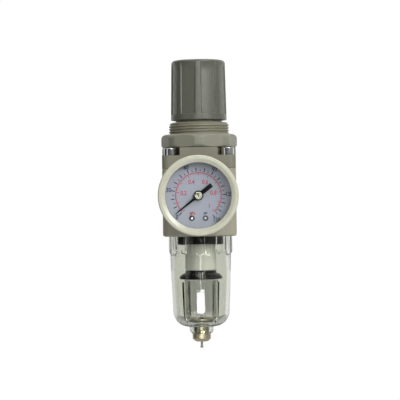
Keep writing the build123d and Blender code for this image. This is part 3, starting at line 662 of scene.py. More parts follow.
@dataclass(frozen=True)
class Finish:
    """An opaque finish: base tone, gloss, grain, worn edges and dust."""

    name: str
    slot: str
    colour: Colour
    roughness: float = 0.5
    metallic: float = 0.0
    mottle: float = 0.06
    mottle_scale: float = 70.0
    grain: float = 0.05
    grain_scale: float = 2600.0
    waves: float = 120.0
    worn: Colour = (0.7, 0.7, 0.66)
    wear: float = 0.3
    wear_width: float = 0.0004
    dust: float = 0.15
    coat: float = 0.0
    coat_roughness: float = 0.1
    specular: float = 0.5
    streaks: Optional[tuple[float, float, float]] = None

    @cache
    def build(self) -> bpy.types.Material:
        """Make the material, once for all the pieces that share it.

        Returns:
            The finished material.
        """
        material = bpy.data.materials.new(self.name)
        material.use_nodes = True
        nodes = Nodes(material.node_tree)
        shader = material.node_tree.nodes["Principled BSDF"]
        base = (*self.colour, 1.0)
        tone = nodes.add("ShaderNodeGroup", node_tree=Effects.mottle())
        nodes.feed(tone, Color=base, Amount=self.mottle, Scale=self.mottle_scale)
        wear = nodes.add("ShaderNodeGroup", node_tree=Effects.edge_wear())
        nodes.feed(wear, Color=tone.outputs["Color"], Worn_Color=(*self.worn, 1.0), Amount=self.wear,
                   Width=self.wear_width)
        dust = nodes.add("ShaderNodeGroup", node_tree=Effects.dust())
        nodes.feed(dust, Color=wear.outputs["Color"], Amount=self.dust)
        rough = self._roughness(nodes, dust.outputs["Mask"])
        grain = nodes.add("ShaderNodeGroup", node_tree=Effects.grain())
        nodes.feed(grain, Scale=self.grain_scale, Waves=self.waves)
        bump = nodes.add("ShaderNodeBump")
        nodes.feed(bump, Strength=self.grain, Distance=0.0002, Height=grain.outputs["Height"])
        nodes.feed(shader, Base_Color=dust.outputs["Color"], Roughness=rough, Normal=bump.outputs[0],
                   Metallic=self.metallic, Specular_IOR_Level=self.specular, Coat_Weight=self.coat,
                   Coat_Roughness=self.coat_roughness)
        return material

    def _roughness(self, nodes: Nodes, dust: bpy.types.NodeSocket) -> bpy.types.NodeSocket:
        """Vary the roughness with the grain, the dust and any brushed streaks.

        Args:
            nodes: Helper of the material.
            dust: Mask of the dust.

        Returns:
            The roughness.
        """
        if self.streaks:
            pattern = nodes.noise(1.0, 4.0, self.streaks)
        else:
            pattern = nodes.noise(260.0, 3.0)
        swing = nodes.ramp(pattern, 0.3, 0.7, self.roughness * 0.8, min(1.0, self.roughness * 1.2))
        return nodes.math("ADD", swing, nodes.math("MULTIPLY", dust, 0.3), clamp=True)


@dataclass(frozen=True)
class ClearFinish:
    """A see-through finish with faint waves and fine scratches."""

    name: str
    slot: str
    tint: Colour
    roughness: float = 0.04
    ior: float = 1.5
    waves: float = 0.05
    wave_scale: float = 90.0
    clearness: float = 0.7
    # Share of painted shade that darkens the bowl low down, inside the fins.
    film: float = 0.0

    @cache
    def build(self) -> bpy.types.Material:
        """Make the material, once for all the pieces that share it.

        Returns:
            The finished material.
        """
        material = bpy.data.materials.new(self.name)
        material.use_nodes = True
        nodes = Nodes(material.node_tree)
        shader = material.node_tree.nodes["Principled BSDF"]
        tone = nodes.add("ShaderNodeGroup", node_tree=Effects.mottle())
        nodes.feed(tone, Color=(*self.tint, 1.0), Amount=0.03, Scale=90.0)
        # Painted shade: darkens the tint low in the bowl, inside the square of the fins.
        film = nodes.add("ShaderNodeGroup", node_tree=Effects.film())
        nodes.feed(film, Color=tone.outputs["Color"], Amount=self.film)
        scuffs = nodes.ramp(nodes.noise(700.0, 4.0), 0.45, 0.75, self.roughness, self.roughness + 0.06)
        waves = nodes.noise(self.wave_scale, 2.0)
        bump = nodes.add("ShaderNodeBump")
        nodes.feed(bump, Strength=self.waves, Distance=0.0005, Height=waves)
        shadow = nodes.add("ShaderNodeLightPath").outputs["Is Shadow Ray"]
        solid = nodes.math("SUBTRACT", 1.0, nodes.math("MULTIPLY", shadow, self.clearness))
        nodes.feed(shader, Base_Color=film.outputs["Color"], Roughness=scuffs, Normal=bump.outputs[0],
                   Transmission_Weight=1.0, IOR=self.ior, Alpha=solid)
        return material


class Finishes:
    """Every finish of the part."""

    KNOB = Finish("knob_moulding", "knob_plastic", (0.128, 0.133, 0.1), 0.4, grain=0.06, worn=(0.3, 0.31, 0.26),
                  wear=0.5, wear_width=0.0005, coat=0.3, coat_roughness=0.3, dust=0.08)
    BONNET = Finish("bonnet_moulding", "bonnet_plastic", (0.262, 0.25, 0.178), 0.45, grain=0.08,
                    worn=(0.5, 0.49, 0.4), wear=0.35, coat=0.1, coat_roughness=0.35)
    NUT = Finish("nut_moulding", "nut_plastic", (0.3, 0.298, 0.23), 0.4, grain=0.06, worn=(0.5, 0.5, 0.42),
                 wear=0.35, coat=0.1, coat_roughness=0.3)
    PAINT = Finish("casting_paint", "body_paint", (0.44, 0.42, 0.31), 0.42, grain=0.1, grain_scale=1500.0,
                   worn=(0.66, 0.65, 0.56), wear=0.25, coat=0.15, coat_roughness=0.3)
    ZINC = Finish("bright_zinc", "zinc_steel", (0.7, 0.71, 0.72), 0.14, metallic=1.0, grain=0.03,
                  worn=(0.9, 0.9, 0.9), wear=0.2, dust=0.05)
    STEEL = Finish("turned_steel", "steel", (0.55, 0.55, 0.54), 0.28, metallic=1.0,
                   streaks=(60.0, 60.0, 4000.0), worn=(0.8, 0.8, 0.8))
    SPRING = Finish("spring_wire", "spring_steel", (0.36, 0.36, 0.36), 0.3, metallic=1.0, worn=(0.7, 0.7, 0.7))
    BRASS = Finish("turned_brass", "brass", (0.62, 0.5, 0.27), 0.22, metallic=1.0, mottle=0.12,
                   streaks=(60.0, 60.0, 3500.0), worn=(0.85, 0.74, 0.48), wear=0.3)
    DRAIN_BRASS = Finish("drain_brass", "brass", (0.52, 0.47, 0.33), 0.34, metallic=1.0, mottle=0.15,
                         streaks=(60.0, 60.0, 3000.0), worn=(0.85, 0.76, 0.55), wear=0.3)
    PIN_METAL = Finish("pin_metal", "brass", (0.3, 0.28, 0.22), 0.4, metallic=1.0, mottle=0.2, worn=(0.6, 0.55, 0.42))
    RUBBER = Finish("nitrile_rubber", "black_rubber", (0.018, 0.018, 0.018), 0.62, grain=0.12, worn=(0.06, 0.06, 0.06))
    DEFLECTOR = Finish("deflector_moulding", "deflector_black", (0.004, 0.004, 0.004), 0.25, grain=0.03,
                       worn=(0.03, 0.03, 0.03), wear=0.2, dust=0.01, specular=0.25)
    BAFFLE = Finish("baffle_moulding", "baffle_black", (0.004, 0.004, 0.004), 0.3, grain=0.04,
                    worn=(0.03, 0.03, 0.03), wear=0.2, dust=0.01, specular=0.25)
    ELEMENT = Finish("sintered_element", "element_white", (0.78, 0.78, 0.73), 0.8, grain=0.6, grain_scale=2200.0,
                     mottle=0.12, mottle_scale=400.0, worn=(0.8, 0.8, 0.76))
    BEZEL = Finish("bezel_moulding", "bezel_ivory", (0.72, 0.715, 0.57), 0.3, grain=0.03, mottle=0.04,
                   worn=(0.85, 0.84, 0.74), wear=0.5, wear_width=0.0006, coat=0.3, coat_roughness=0.15, dust=0.05)
    CASE = Finish("case_paint", "case_steel", (0.03, 0.03, 0.03), 0.35, grain=0.06, worn=(0.3, 0.3, 0.3),
                  wear=0.25, coat=0.3)
    DIAL = Finish("dial_enamel", "dial_white", (0.3, 0.31, 0.35), 0.4, grain=0.02, mottle=0.05, wear=0.0, dust=0.05)
    RED_PRINT = Finish("red_print", "dial_white", (0.4, 0.03, 0.06), 0.5, mottle=0.2, mottle_scale=900.0, wear=0.0)
    BLUE_PRINT = Finish("blue_print", "dial_white", (0.012, 0.014, 0.06), 0.5, mottle=0.2, mottle_scale=900.0, wear=0.0)
    POINTER = Finish("pointer_paint", "pointer_black", (0.003, 0.003, 0.003), 0.6, worn=(0.03, 0.03, 0.03), wear=0.1,
                     dust=0.01, specular=0.1)
    # Near-black steel rings round the dial screw pins: painted shade on the flank of each domed head.
    PAINTED_SHADE_RING = Finish("painted_shade_ring", "steel", (0.1, 0.1, 0.1), 0.35, metallic=1.0, worn=(0.4, 0.4, 0.4), wear=0.2)
    HUB = Finish("pale_brass", "brass", (0.5, 0.49, 0.37), 0.3, metallic=1.0, mottle=0.1, worn=(0.7, 0.7, 0.55))
    GUIDE = Finish("guide_moulding", "guide_plastic", (0.45, 0.45, 0.41), 0.5, grain=0.08)
    # The bowl's tint carries painted shade low down, inside the square of the fins.
    BOWL = ClearFinish("bowl_moulding", "bowl_clear", (0.75, 0.765, 0.7), 0.02, 1.5, 0.12, film=0.3)
    WINDOW = ClearFinish("window_pane", "window_clear", (0.93, 0.95, 0.97), 0.01, 1.45, 0.02)


def place(piece: bpy.types.Object, body: Body, finish: Finish | ClearFinish, *stands_for: str) -> bpy.types.Object:
    """Dress a piece, let it ride on a body and stand for its nodes.

    Args:
        piece: The finished mesh.
        body: Body that carries it.
        finish: Its finish.
        *stands_for: Nodes that it replaces.

    Returns:
        The same piece.
    """
    even_normals(piece)
    piece.data.materials.clear()
    piece.data.materials.append(finish.build())
    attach(piece, body.value)
    if stands_for:
        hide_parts(*stands_for)
    LOG.info("%s on %s, finished with %s", piece.name, body.value, finish.name)
    return piece


@dataclass
class Knob:
    """The adjusting knob with eight ribs between flat panels."""

    bottom: float = 7.8
    top: float = 40.6
    bottom_r: float = 15.35
    top_r: float = 14.7
    crown: float = 2.8
    bore_r: float = 13.0
    ceiling: float = 38.7
    ribs: int = 8
    skirt_top: float = 11.06
    panel_top: float = 39.4
    recess: float = 0.55
    rib_low: float = 6.2
    rib_high: float = 4.9
    rib_slope: float = 1.7
    teeth: int = 24
    offsets: tuple[float, ...] = (-22.5, -18, -14, -10.5, -9, -8.2, -7.4, -6.6, -5.8, -5, -3, 0,
                                  3, 5, 5.8, 6.6, 7.4, 8.2, 9, 10.5, 14, 18)

    def angles(self) -> list[float]:
        """Give the angles of the mesh, close together at the sides of each rib."""
        pitch = 360 / self.ribs
        return [index * pitch + offset for index in range(self.ribs) for offset in self.offsets]

    def outer_radius(self, radius: float, level: float, angle: float) -> float:
        """Sink the panels between the ribs.

        Args:
            radius: Radius of the ribs' envelope.
            level: Height.
            angle: Angle in degrees.

        Returns:
            The radius of the surface.
        """
        if radius < self.bore_r + 1.0 or level < self.skirt_top - 0.3:
            return radius
        pitch = 360 / self.ribs
        from_rib = abs((angle + pitch / 2) % pitch - pitch / 2)
        height = (level - self.bottom) / (self.top - self.bottom)
        half = self.rib_low + (self.rib_high - self.rib_low) * height
        from_panel = math.radians(pitch / 2 - from_rib)
        flat = (radius - self.recess) * math.cos(math.radians(pitch / 2 - half)) / math.cos(from_panel)
        flat = 0.45 * flat + 0.55 * (radius - self.recess)
        side = smoothstep(half, half + self.rib_slope, from_rib)
        foot = smoothstep(self.skirt_top - 0.15, self.skirt_top + 0.25, level)
        head = 1 - smoothstep(self.panel_top - 1.2, self.panel_top, level)
        return radius + (flat - radius) * side * foot * head

    def profile(self) -> Profile:
        """Give the knob's section, with more levels where the panels end."""
        points = rounded([(13.9, 9.4, 0), (13.9, self.bottom, 0.15), (self.bottom_r, self.bottom, 0.35),
                          (self.bottom_r - 0.05, self.skirt_top - 0.4, 0)], 4)
        slope = (self.top_r - self.bottom_r) / (self.top - self.bottom)
        levels = [self.skirt_top + step for step in (-0.15, -0.05, 0.05, 0.15, 0.25, 1.0, 4.0, 9.0, 14.0, 19.0, 23.0)]
        levels += [self.top - self.crown - 1.0]
        points += [(self.bottom_r + slope * (level - self.bottom), level) for level in levels]
        points += rounded([(self.top_r + 0.02, self.top - self.crown - 0.5, 0), (self.top_r, self.top, self.crown),
                           (9.3, self.top, 0)], 12)[1:]
        points += [(9.05, self.top - 0.05), (9.0, self.top - 0.5), (0.0, self.top - 0.5)]
        points += [(0.0, self.ceiling), (self.bore_r, self.ceiling), (self.bore_r, 9.4)]
        return points

    def build(self) -> None:
        """Make the shell, its socket and its locking teeth."""
        shell = lathe("knob_shell", self.profile(), angles=self.angles(), rule=self.outer_radius, sharp=38)
        socket = stack("knob_socket", polygon_outline(13.6, 24), [(35.4, 0.3), (35.7, 0), (self.ceiling, 0)])
        carve(socket, [stack("cut", polygon_outline(8.1, 6), [(35, 0), (self.ceiling + 1, 0)])])
        tooth = [(13.05, -0.4), (13.95, -0.55), (13.95, 0.55), (13.05, 0.4)]
        teeth = []
        for index in range(self.teeth):
            piece = stack("tooth", tooth, [(8.3, 0.05), (8.4, 0), (9.4, 0)])
            piece.data.transform(Matrix.Rotation(math.radians(index * 360 / self.teeth), 4, "Z"))
            teeth.append(piece)
        place(shell, Body.KNOB, Finishes.KNOB, "knob")
        place(socket, Body.KNOB, Finishes.KNOB)
        place(gather("knob_lock_teeth", teeth), Body.KNOB, Finishes.KNOB)


@dataclass
class Bonnet:
    """Spring housing: flange, corner pockets, threaded collar and tower."""

    width: float = 40.0
    corner: float = 3.5
    bottom: float = -19.1
    flange: float = -11.8
    shoulder: float = -7.5
    arm: float = 20.4
    collar_top: float = 6.6
    crest_r: float = 16.5
    root_r: float = 15.75
    pitch: float = 1.5
    tower_r: float = 12.7
    tower_top: float = 33.0

    def thread_radius(self, radius: float, level: float, angle: float) -> float:
        """Cut the helical thread into the collar.

        Args:
            radius: Radius of the collar's envelope.
            level: Height.
            angle: Angle in degrees.

        Returns:
            The radius of the surface.
        """
        if radius < self.root_r + 0.05:
            return radius
        phase = ((level - 0.55) / self.pitch - angle / 360) % 1.0
        wave = smoothstep(0.0, 1.0, min(1.0, 1.35 * abs(2 * phase - 1)))
        start = smoothstep(0.0, 0.2, level + 0.5)
        return radius - (radius - self.root_r) * (1 - wave) * start * 0.95

    def collar(self) -> bpy.types.Object:
        """Make the threaded collar with its rounded top."""
        rows = 96
        levels = [-0.3 + (self.collar_top + 0.2) * i / rows for i in range(rows)]
        points: Profile = [(self.tower_r, -0.3)]
        for level in levels:
            drop = max(0.0, level - (self.collar_top - 2.0))
            points.append((self.crest_r - 2.0 + math.sqrt(max(0.0, 4.0 - drop * drop)), level))
        points += [(self.crest_r - 2.2, self.collar_top), (self.tower_r, self.collar_top)]
        return lathe("threaded_collar", points, rule=self.thread_radius, segments=144, sharp=60)

    def arms(self) -> bpy.types.Object:
        """Make the cross of walls that leaves the four corner pockets."""
        half = self.arm / 2
        block = stack("bonnet_arms", square_outline(self.width, self.corner),
                      [(self.flange - 0.5, 0), (self.shoulder - 0.5, 0), (self.shoulder - 0.15, 0.1),
                       (self.shoulder, 0.4)])
        cutters = []
        for sx in (-1, 1):
            for sy in (-1, 1):
                corner = stack("cut", square_outline(20.0, 0.8), [(self.flange, 0), (self.shoulder + 2, 0)])
                cutters.append(shift(corner, sx * (half + 10.0), sy * (half + 10.0)))
        carve(block, cutters)
        core = lathe("core", [(11.2, self.flange - 0.2), (17.5, self.flange - 0.2), (17.5, self.shoulder - 0.02),
                              (11.2, self.shoulder - 0.02)])
        carve(block, [core], join=True)
        return block

    def build(self) -> None:
        """Make the flange, the walls, the collar and the tower."""
        flange = stack("bonnet_flange", square_outline(self.width, self.corner),
                       [(self.bottom, 0.25), (self.bottom + 0.25, 0), (self.flange - 0.5, 0),
                        (self.flange - 0.15, 0.12), (self.flange, 0.45)])
        bore = lathe("cut", [(0, self.bottom - 1), (15.5, self.bottom - 1), (15.5, self.bottom + 1.6),
                             (11.0, self.bottom + 6.1), (11.0, 0), (0, 0)])
        carve(flange, [bore])
        arms = self.arms()
        bore = lathe("cut", [(0, -30), (11.0, -30), (11.0, 10), (0, 10)])
        vent = lathe("cut", [(0, 5), (0.8, 5), (0.8, 25), (0, 25)], Lay.REAR, segments=24)
        shift(vent, z=-PORT_Z + self.flange + 2.2)
        carve(arms, [bore, vent])
        tower = lathe("bonnet_tower", rounded([(11.0, self.shoulder, 0), (self.root_r - 0.1, self.shoulder, 0),
                                               (self.root_r - 0.1, -0.2, 0), (self.tower_r, -0.2, 0),
                                               (self.tower_r, self.tower_top, 0.5),
                                               (3.95, self.tower_top, 0), (3.95, self.tower_top - 2, 0),
                                               (11.0, self.tower_top - 2, 0)], 4))
        place(flange, Body.HOUSING, Finishes.BONNET, "bonnet")
        place(arms, Body.HOUSING, Finishes.BONNET, "bonnet")
        place(tower, Body.HOUSING, Finishes.BONNET, "bonnet")
        place(self.collar(), Body.HOUSING, Finishes.BONNET, "bonnet")
        self.screws()

    def screws(self) -> None:
        """Make the four cap screws in the pockets."""
        screws = []
        for x in (-15.5, 15.5):
            for y in (-15.5, 15.5):
                head = lathe("screw", rounded([(0, -27.0, 0), (1.9, -27.0, 0.2), (1.9, self.flange, 0),
                                               (3.5, self.flange, 0.1), (3.5, -7.8, 0.4), (0, -7.8, 0)], 4), segments=48)
                head = carve(head, [stack("cut", polygon_outline(3.0, 6), [(-10.0, 0), (-7, 0)])])
                screws.append(shift(head, x, y))
        place(gather("cap_screws", screws), Body.HOUSING, Finishes.ZINC, "bonnet_screws")


@dataclass
class RingNut:
    """Panel nut: an octagon blended into a turned form."""

    flats: float = 40.0
    corner_r: float = 20.85
    bottom: float = -7.5
    top_round: float = 2.5
    bottom_round: float = 1.9
    bore_r: float = 15.8
    sides: int = 8

    def flat_radius(self, radius: float, level: float, angle: float) -> float:
        """Keep the turned form inside the octagon's flats.

        Args:
            radius: Radius of the turned form.
            level: Height, not used.
            angle: Angle in degrees.

        Returns:
            The radius of the surface.
        """
        if radius < self.bore_r + 1.2:
            return radius
        pitch = 360 / self.sides
        from_flat = math.radians(angle % pitch - pitch / 2)
        flat = self.flats / 2 / math.cos(from_flat)
        sharpness = 60.0
        return -math.log(math.exp(-sharpness * (flat - 20)) + math.exp(-sharpness * (radius - 20))) / sharpness + 20

    def build(self) -> None:
        """Make the nut."""
        profile = rounded([(self.bore_r, self.bottom, 0.3), (self.corner_r, self.bottom, self.bottom_round),
                           (self.corner_r, 0, self.top_round), (self.bore_r, 0, 0.3)], 14, closed=True)
        nut = lathe("panel_nut", profile, rule=self.flat_radius, segments=384, sharp=40)
        place(nut, Body.HOUSING, Finishes.NUT, "ring_nut")


@dataclass
class Casting:
    """The painted body with its ports and the bowl socket."""

    width: float = 40.0
    corner: float = 3.5
    top: float = -19.1
    bottom: float = -55.7
    port_r: float = 5.72

    def port_profile(self) -> Profile:
        """Give the section of a port with its thread turns and its countersink."""
        points: Profile = [(0, 9.0), (self.port_r, 9.0)]
        level = 9.6
        while level < 19.0:
            points += [(self.port_r, level), (self.port_r + 0.5, level + 0.4), (self.port_r, level + 0.8)]
            level += 1.0
        return points + [(self.port_r, 19.2), (self.port_r + 0.9, 20.1), (0, 20.1)]

    def build(self) -> None:
        """Make the body, its bores and the plug of the rear port."""
        levels = [(self.bottom, 1.3), (self.bottom + 0.12, 0.8), (self.bottom + 0.38, 0.38), (self.bottom + 0.8, 0.12),
                  (self.bottom + 1.3, 0.0), (self.top - 0.35, 0.0), (self.top - 0.1, 0.08), (self.top, 0.3)]
        body = stack("body_casting", square_outline(self.width, self.corner, 14), levels)
        cutters = [
            lathe("cut", [(0, -24.5), (15.5, -24.5), (15.5, -20.3), (17.5, -20.3), (17.5, -18), (0, -18)]),
            lathe("cut", [(10.0, -53.0), (10.0, -47.5), (15.1, -47.5), (15.1, -57), (0, -57), (0, -53.0)]),
            lathe("cut", [(0, -57), (8.0, -57), (8.0, -38.5), (0, -38.5)]),
            lathe("cut", [(0, -36.5), (7.0, -36.5), (7.0, -27.5), (0, -27.5)]),
            lathe("cut", self.port_profile(), Lay.OUTLET, segments=64),
            lathe("cut", self.port_profile(), Lay.INLET, segments=64),
            lathe("cut", [(0, 11.5), (4.3, 11.5), (4.3, 21), (0, 21)], Lay.REAR, segments=48),
            lathe("cut", [(0, 11.5), (4.3, 11.5), (4.3, 21), (0, 21)], Lay.GAUGE, segments=48),
        ]
        carve(body, cutters)
        place(body, Body.HOUSING, Finishes.PAINT, "regulator_body")
        plug = lathe("spare_port_plug", rounded([(0, 13.0, 0), (4.25, 13.0, 0.3), (4.25, 19.4, 0.3), (0, 19.4, 0)], 3),
                     Lay.REAR, segments=48)
        socket = stack("cut", polygon_outline(5.0, 6), [(16, 0), (21, 0)], Lay.REAR)
        place(carve(plug, [socket]), Body.HOUSING, Finishes.ZINC, "rear_plug")


@dataclass
class Scale:
    """One printed scale of the dial."""

    full: float
    numbers: tuple[tuple[float, str], ...]
    number_r: float
    number_size: float
    start: float = 225.0
    sweep: float = 270.0

    def angle(self, value: float) -> float:
        """Give the angle of a value, in degrees."""
        return self.start - value / self.full * self.sweep


@dataclass
class Gauge:
    """The pressure gauge with its dial and pointer."""

    bezel_r: float = 21.05
    inner_r: float = 17.3
    front: float = 54.0
    dial: float = 46.0
    ink: float = 0.03
    bold: float = 0.07
    rest_angle: float = 218.3
    pascal: Scale = field(default_factory=lambda: Scale(
        1.0, ((0.2, "0.2"), (0.4, "0.4"), (0.6, "0.6"), (0.8, "0.8"), (1.0, "1")), 7.9, 2.4))
    psi: Scale = field(default_factory=lambda: Scale(
        145.04, ((0, "0"), (30, "30"), (60, "60"), (90, "90"), (120, "120"), (150, "150")), 15.9, 2.3))

    def build(self) -> None:
        """Make the case, the bezel, the dial and what is on it."""
        self.shell()
        self.prints()
        self.fixings()
        self.needle()

    def shell(self) -> None:
        """Make the can, the bezel, the window, the dial plate and the socket."""
        bezel = rounded([(20.25, 44.0, 0.1), (20.65, 44.0, 0.3), (self.bezel_r, 45.2, 0.5), (self.bezel_r, 53.4, 0.5),
                         (20.5, self.front - 0.05, 0.3), (19.2, self.front, 0.8), (self.inner_r, 53.1, 0.25),
                         (self.inner_r, 51.7, 0), (18.75, 51.65, 0), (18.75, 46.85, 0), (20.25, 46.85, 0)], 5, closed=True)
        place(lathe("gauge_bezel_ring", bezel, Lay.GAUGE, segments=160, sharp=50), Body.HOUSING, Finishes.BEZEL,
              "gauge_bezel")
        can = rounded([(4.15, 28.0, 0.1), (20.2, 28.0, 1.2), (20.2, 46.8, 0.1), (19.4, 46.8, 0.1), (19.4, 28.8, 0.8),
                       (4.15, 28.8, 0.1)], 5, closed=True)
        place(lathe("gauge_can", can, Lay.GAUGE, segments=128), Body.HOUSING, Finishes.CASE, "gauge_case")
        pane = rounded([(0, 49.8, 0), (18.7, 49.8, 0.1), (18.7, 51.6, 0.1), (0, 51.6, 0)], 3)
        place(lathe("gauge_pane", pane, Lay.GAUGE, segments=128), Body.HOUSING, Finishes.WINDOW, "gauge_window")
        plate = rounded([(1.2, 45.5, 0), (18.6, 45.5, 0), (18.6, self.dial, 0.1), (1.2, self.dial, 0)], 3, closed=True)
        place(lathe("dial_plate", plate, Lay.GAUGE, segments=128), Body.HOUSING, Finishes.DIAL, "gauge_dial")
        shank = lathe("gauge_shank", rounded([(1.2, 11.5, 0), (4.2, 11.5, 0.5), (4.2, 20, 0), (5.6, 20, 0.1), (5.6, 21, 0),
                                              (5.2, 21, 0), (5.2, 27.2, 0), (4.1, 27.2, 0), (4.1, 36, 0), (1.2, 36, 0)],
                                             3, closed=True), Lay.GAUGE, segments=64)
        hexagon = stack("socket_hexagon", polygon_outline(12.0, 6), [(21, 0.5), (21.35, 0), (26.85, 0), (27.2, 0.5)],
                        Lay.GAUGE, sharp=25)
        place(shank, Body.HOUSING, Finishes.BRASS, "gauge_socket")
        place(hexagon, Body.HOUSING, Finishes.BRASS, "gauge_socket")

    def bar(self, angle: float, near: float, far: float, width: float) -> bpy.types.Object:
        """Make one printed tick.

        Args:
            angle: Its angle in degrees.
            near: Radius where it starts.
            far: Radius where it ends.
            width: Its width.

        Returns:
            The tick.
        """
        half = width / 2
        tick = stack("tick", [(near, -half), (far, -half), (far, half), (near, half)],
                     [(self.dial, 0), (self.dial + self.ink, 0)], Lay.GAUGE)
        centre = Matrix.Translation((0, 0, PORT_Z * MM))
        tick.data.transform(centre @ Matrix.Rotation(math.radians(-angle), 4, "Y") @ centre.inverted())
        return tick

    def word(self, text: str, x: float, y: float, size: float, turn: float = 0.0) -> bpy.types.Object:
        """Make a printed word or number.

        Args:
            text: What it says.
            x: Place across the dial.
            y: Place up the dial.
            size: Height of the letters.
            turn: Turn in degrees.

        Returns:
            The word as a mesh.
        """
        curve = bpy.data.curves.new("print", "FONT")
        curve.body = text
        curve.size = size * 1.38
        curve.align_x = "CENTER"
        curve.align_y = "CENTER"
        curve.extrude = self.ink / 2
        curve.resolution_u = 3
        curve.offset = self.bold
        letters = bpy.data.objects.new("print", curve)
        bpy.context.scene.collection.objects.link(letters)
        mesh = evaluated(letters)
        bpy.data.objects.remove(letters)
        narrow = Matrix.Diagonal((0.82, 1.0, 1.0, 1.0))
        mesh.transform(Matrix.Translation((x, y, self.dial + self.ink / 2)) @ Matrix.Rotation(
            math.radians(turn), 4, "Z") @ narrow)
        mesh.transform(Lay.GAUGE.matrix())
        return finish_mesh(bpy.data.objects.new("print", mesh), 32)

    def arc(self, radius: float, width: float, scale: Scale, last: float) -> bpy.types.Object:
        """Make the printed arc under a scale.

        Args:
            radius: Radius of the arc.
            width: Its width.
            scale: The scale that it belongs to.
            last: Value where it ends.

        Returns:
            The arc.
        """
        steps = 120
        rings: list[Ring] = []
        for step in range(steps + 1):
            turn = math.radians(scale.angle(last * step / steps))
            ring: Ring = []
            for r, level in ((radius - width / 2, self.dial), (radius + width / 2, self.dial),
                             (radius + width / 2, self.dial + self.ink), (radius - width / 2, self.dial + self.ink)):
                ring.append((r * math.cos(turn), r * math.sin(turn), level))
            rings.append(ring)
        verts, faces = skin(rings, closed=False)
        return mesh_piece("arc", verts, faces, Lay.GAUGE)

    def prints(self) -> None:
        """Print the two scales, their numbers and their units."""
        red = [self.arc(12.0, 0.42, self.pascal, 1.0)]
        for step in range(51):
            value = step / 50
            major = step % 5 == 0
            near = 10.4 if step % 10 == 0 else (10.6 if major else 11.2)
            red.append(self.bar(self.pascal.angle(value), near, 12.0, 0.4 if major else 0.28))
        blue = []
        for step in range(30):
            value = step * 5
            major = step % 2 == 0
            blue.append(self.bar(self.psi.angle(value), 12.6, 14.6 if major else 13.7, 0.5 if major else 0.36))
        blue.append(self.bar(self.psi.angle(150), 12.6, 14.6, 0.5))
        for scale, printed in ((self.pascal, red), (self.psi, blue)):
            for value, text in scale.numbers:
                turn = math.radians(scale.angle(value))
                printed.append(self.word(text, scale.number_r * math.cos(turn), scale.number_r * math.sin(turn),
                                         scale.number_size))
        red.append(self.word("MPa", -3.3, -9.3, 1.5))
        blue.append(self.word("psi", 3.5, -9.15, 1.5))
        place(gather("dial_red_scale", red), Body.HOUSING, Finishes.RED_PRINT)
        place(gather("dial_blue_scale", blue), Body.HOUSING, Finishes.BLUE_PRINT)

    def fixings(self) -> None:
        """Make the two dial screws and the stop pin."""
        rims, pins = [], []
        for x in (-3.55, 3.55):
            # Each ring paints the shade on the flank of a domed screw head; the zinc pin inside is the bright top.
            rim = rounded([(0.65, self.dial, 0), (1.5, self.dial, 0), (1.5, self.dial + 0.65, 0.3),
                           (0.95, self.dial + 0.7, 0.2), (0.65, self.dial + 0.3, 0)], 4, closed=True)
            rims.append(shift(lathe("rim", rim, Lay.GAUGE, segments=40), x, 0, -11.85))
            pin = rounded([(0, 43.2, 0), (0.64, 43.2, 0), (0.64, self.dial + 0.55, 0.3), (0, self.dial + 0.6, 0)], 4)
            pins.append(shift(lathe("pin", pin, Lay.GAUGE, segments=40), x, 0, -11.85))
        turn = math.radians(224.0)
        stop = rounded([(0, self.dial, 0), (0.35, self.dial, 0), (0.35, 48.4, 0.15), (0, 48.4, 0)], 4)
        stop_pin = shift(lathe("dial_stop", stop, Lay.GAUGE, segments=32), 11.9 * math.cos(turn), 0, 11.9 * math.sin(turn))
        place(gather("dial_screw_rims", rims), Body.HOUSING, Finishes.PAINTED_SHADE_RING, "dial_screws")
        place(gather("dial_screw_pins", pins), Body.HOUSING, Finishes.ZINC, "dial_screws")
        place(stop_pin, Body.HOUSING, Finishes.ZINC, "gauge_stop_pin")

    def needle(self) -> None:
        """Make the pointer and its hub."""
        outline = [(-8.9, -1.15), (-3.6, -1.15), (-2.3, -0.9), (2.0, -0.75), (15.4, -0.18), (15.4, 0.18), (2.0, 0.75),
                   (-2.3, 0.9), (-3.6, 1.15), (-8.9, 1.15)]
        needle = stack("needle", outline, [(47.3, 0.05), (47.35, 0), (47.65, 0), (47.7, 0.05)], Lay.GAUGE)
        centre = Matrix.Translation((0, 0, PORT_Z * MM))
        needle.data.transform(centre @ Matrix.Rotation(math.radians(-self.rest_angle), 4, "Y") @ centre.inverted())
        collar = rounded([(0.6, 47.7, 0), (2.6, 47.7, 0.1), (2.6, 48.1, 0.15), (2.05, 48.15, 0), (0.6, 48.15, 0)], 4,
                         closed=True)
        cap = rounded([(0, 48.15, 0), (2.0, 48.15, 0), (2.0, 48.7, 0.3), (0.5, 48.7, 0.1), (0.45, 48.3, 0), (0, 48.25, 0)], 5)
        place(needle, Body.POINTER, Finishes.POINTER, "pointer")
        place(lathe("needle_collar", collar, Lay.GAUGE, segments=64), Body.POINTER, Finishes.POINTER, "pointer_hub")
        place(lathe("needle_cap", cap, Lay.GAUGE, segments=64), Body.POINTER, Finishes.HUB, "pointer_hub")


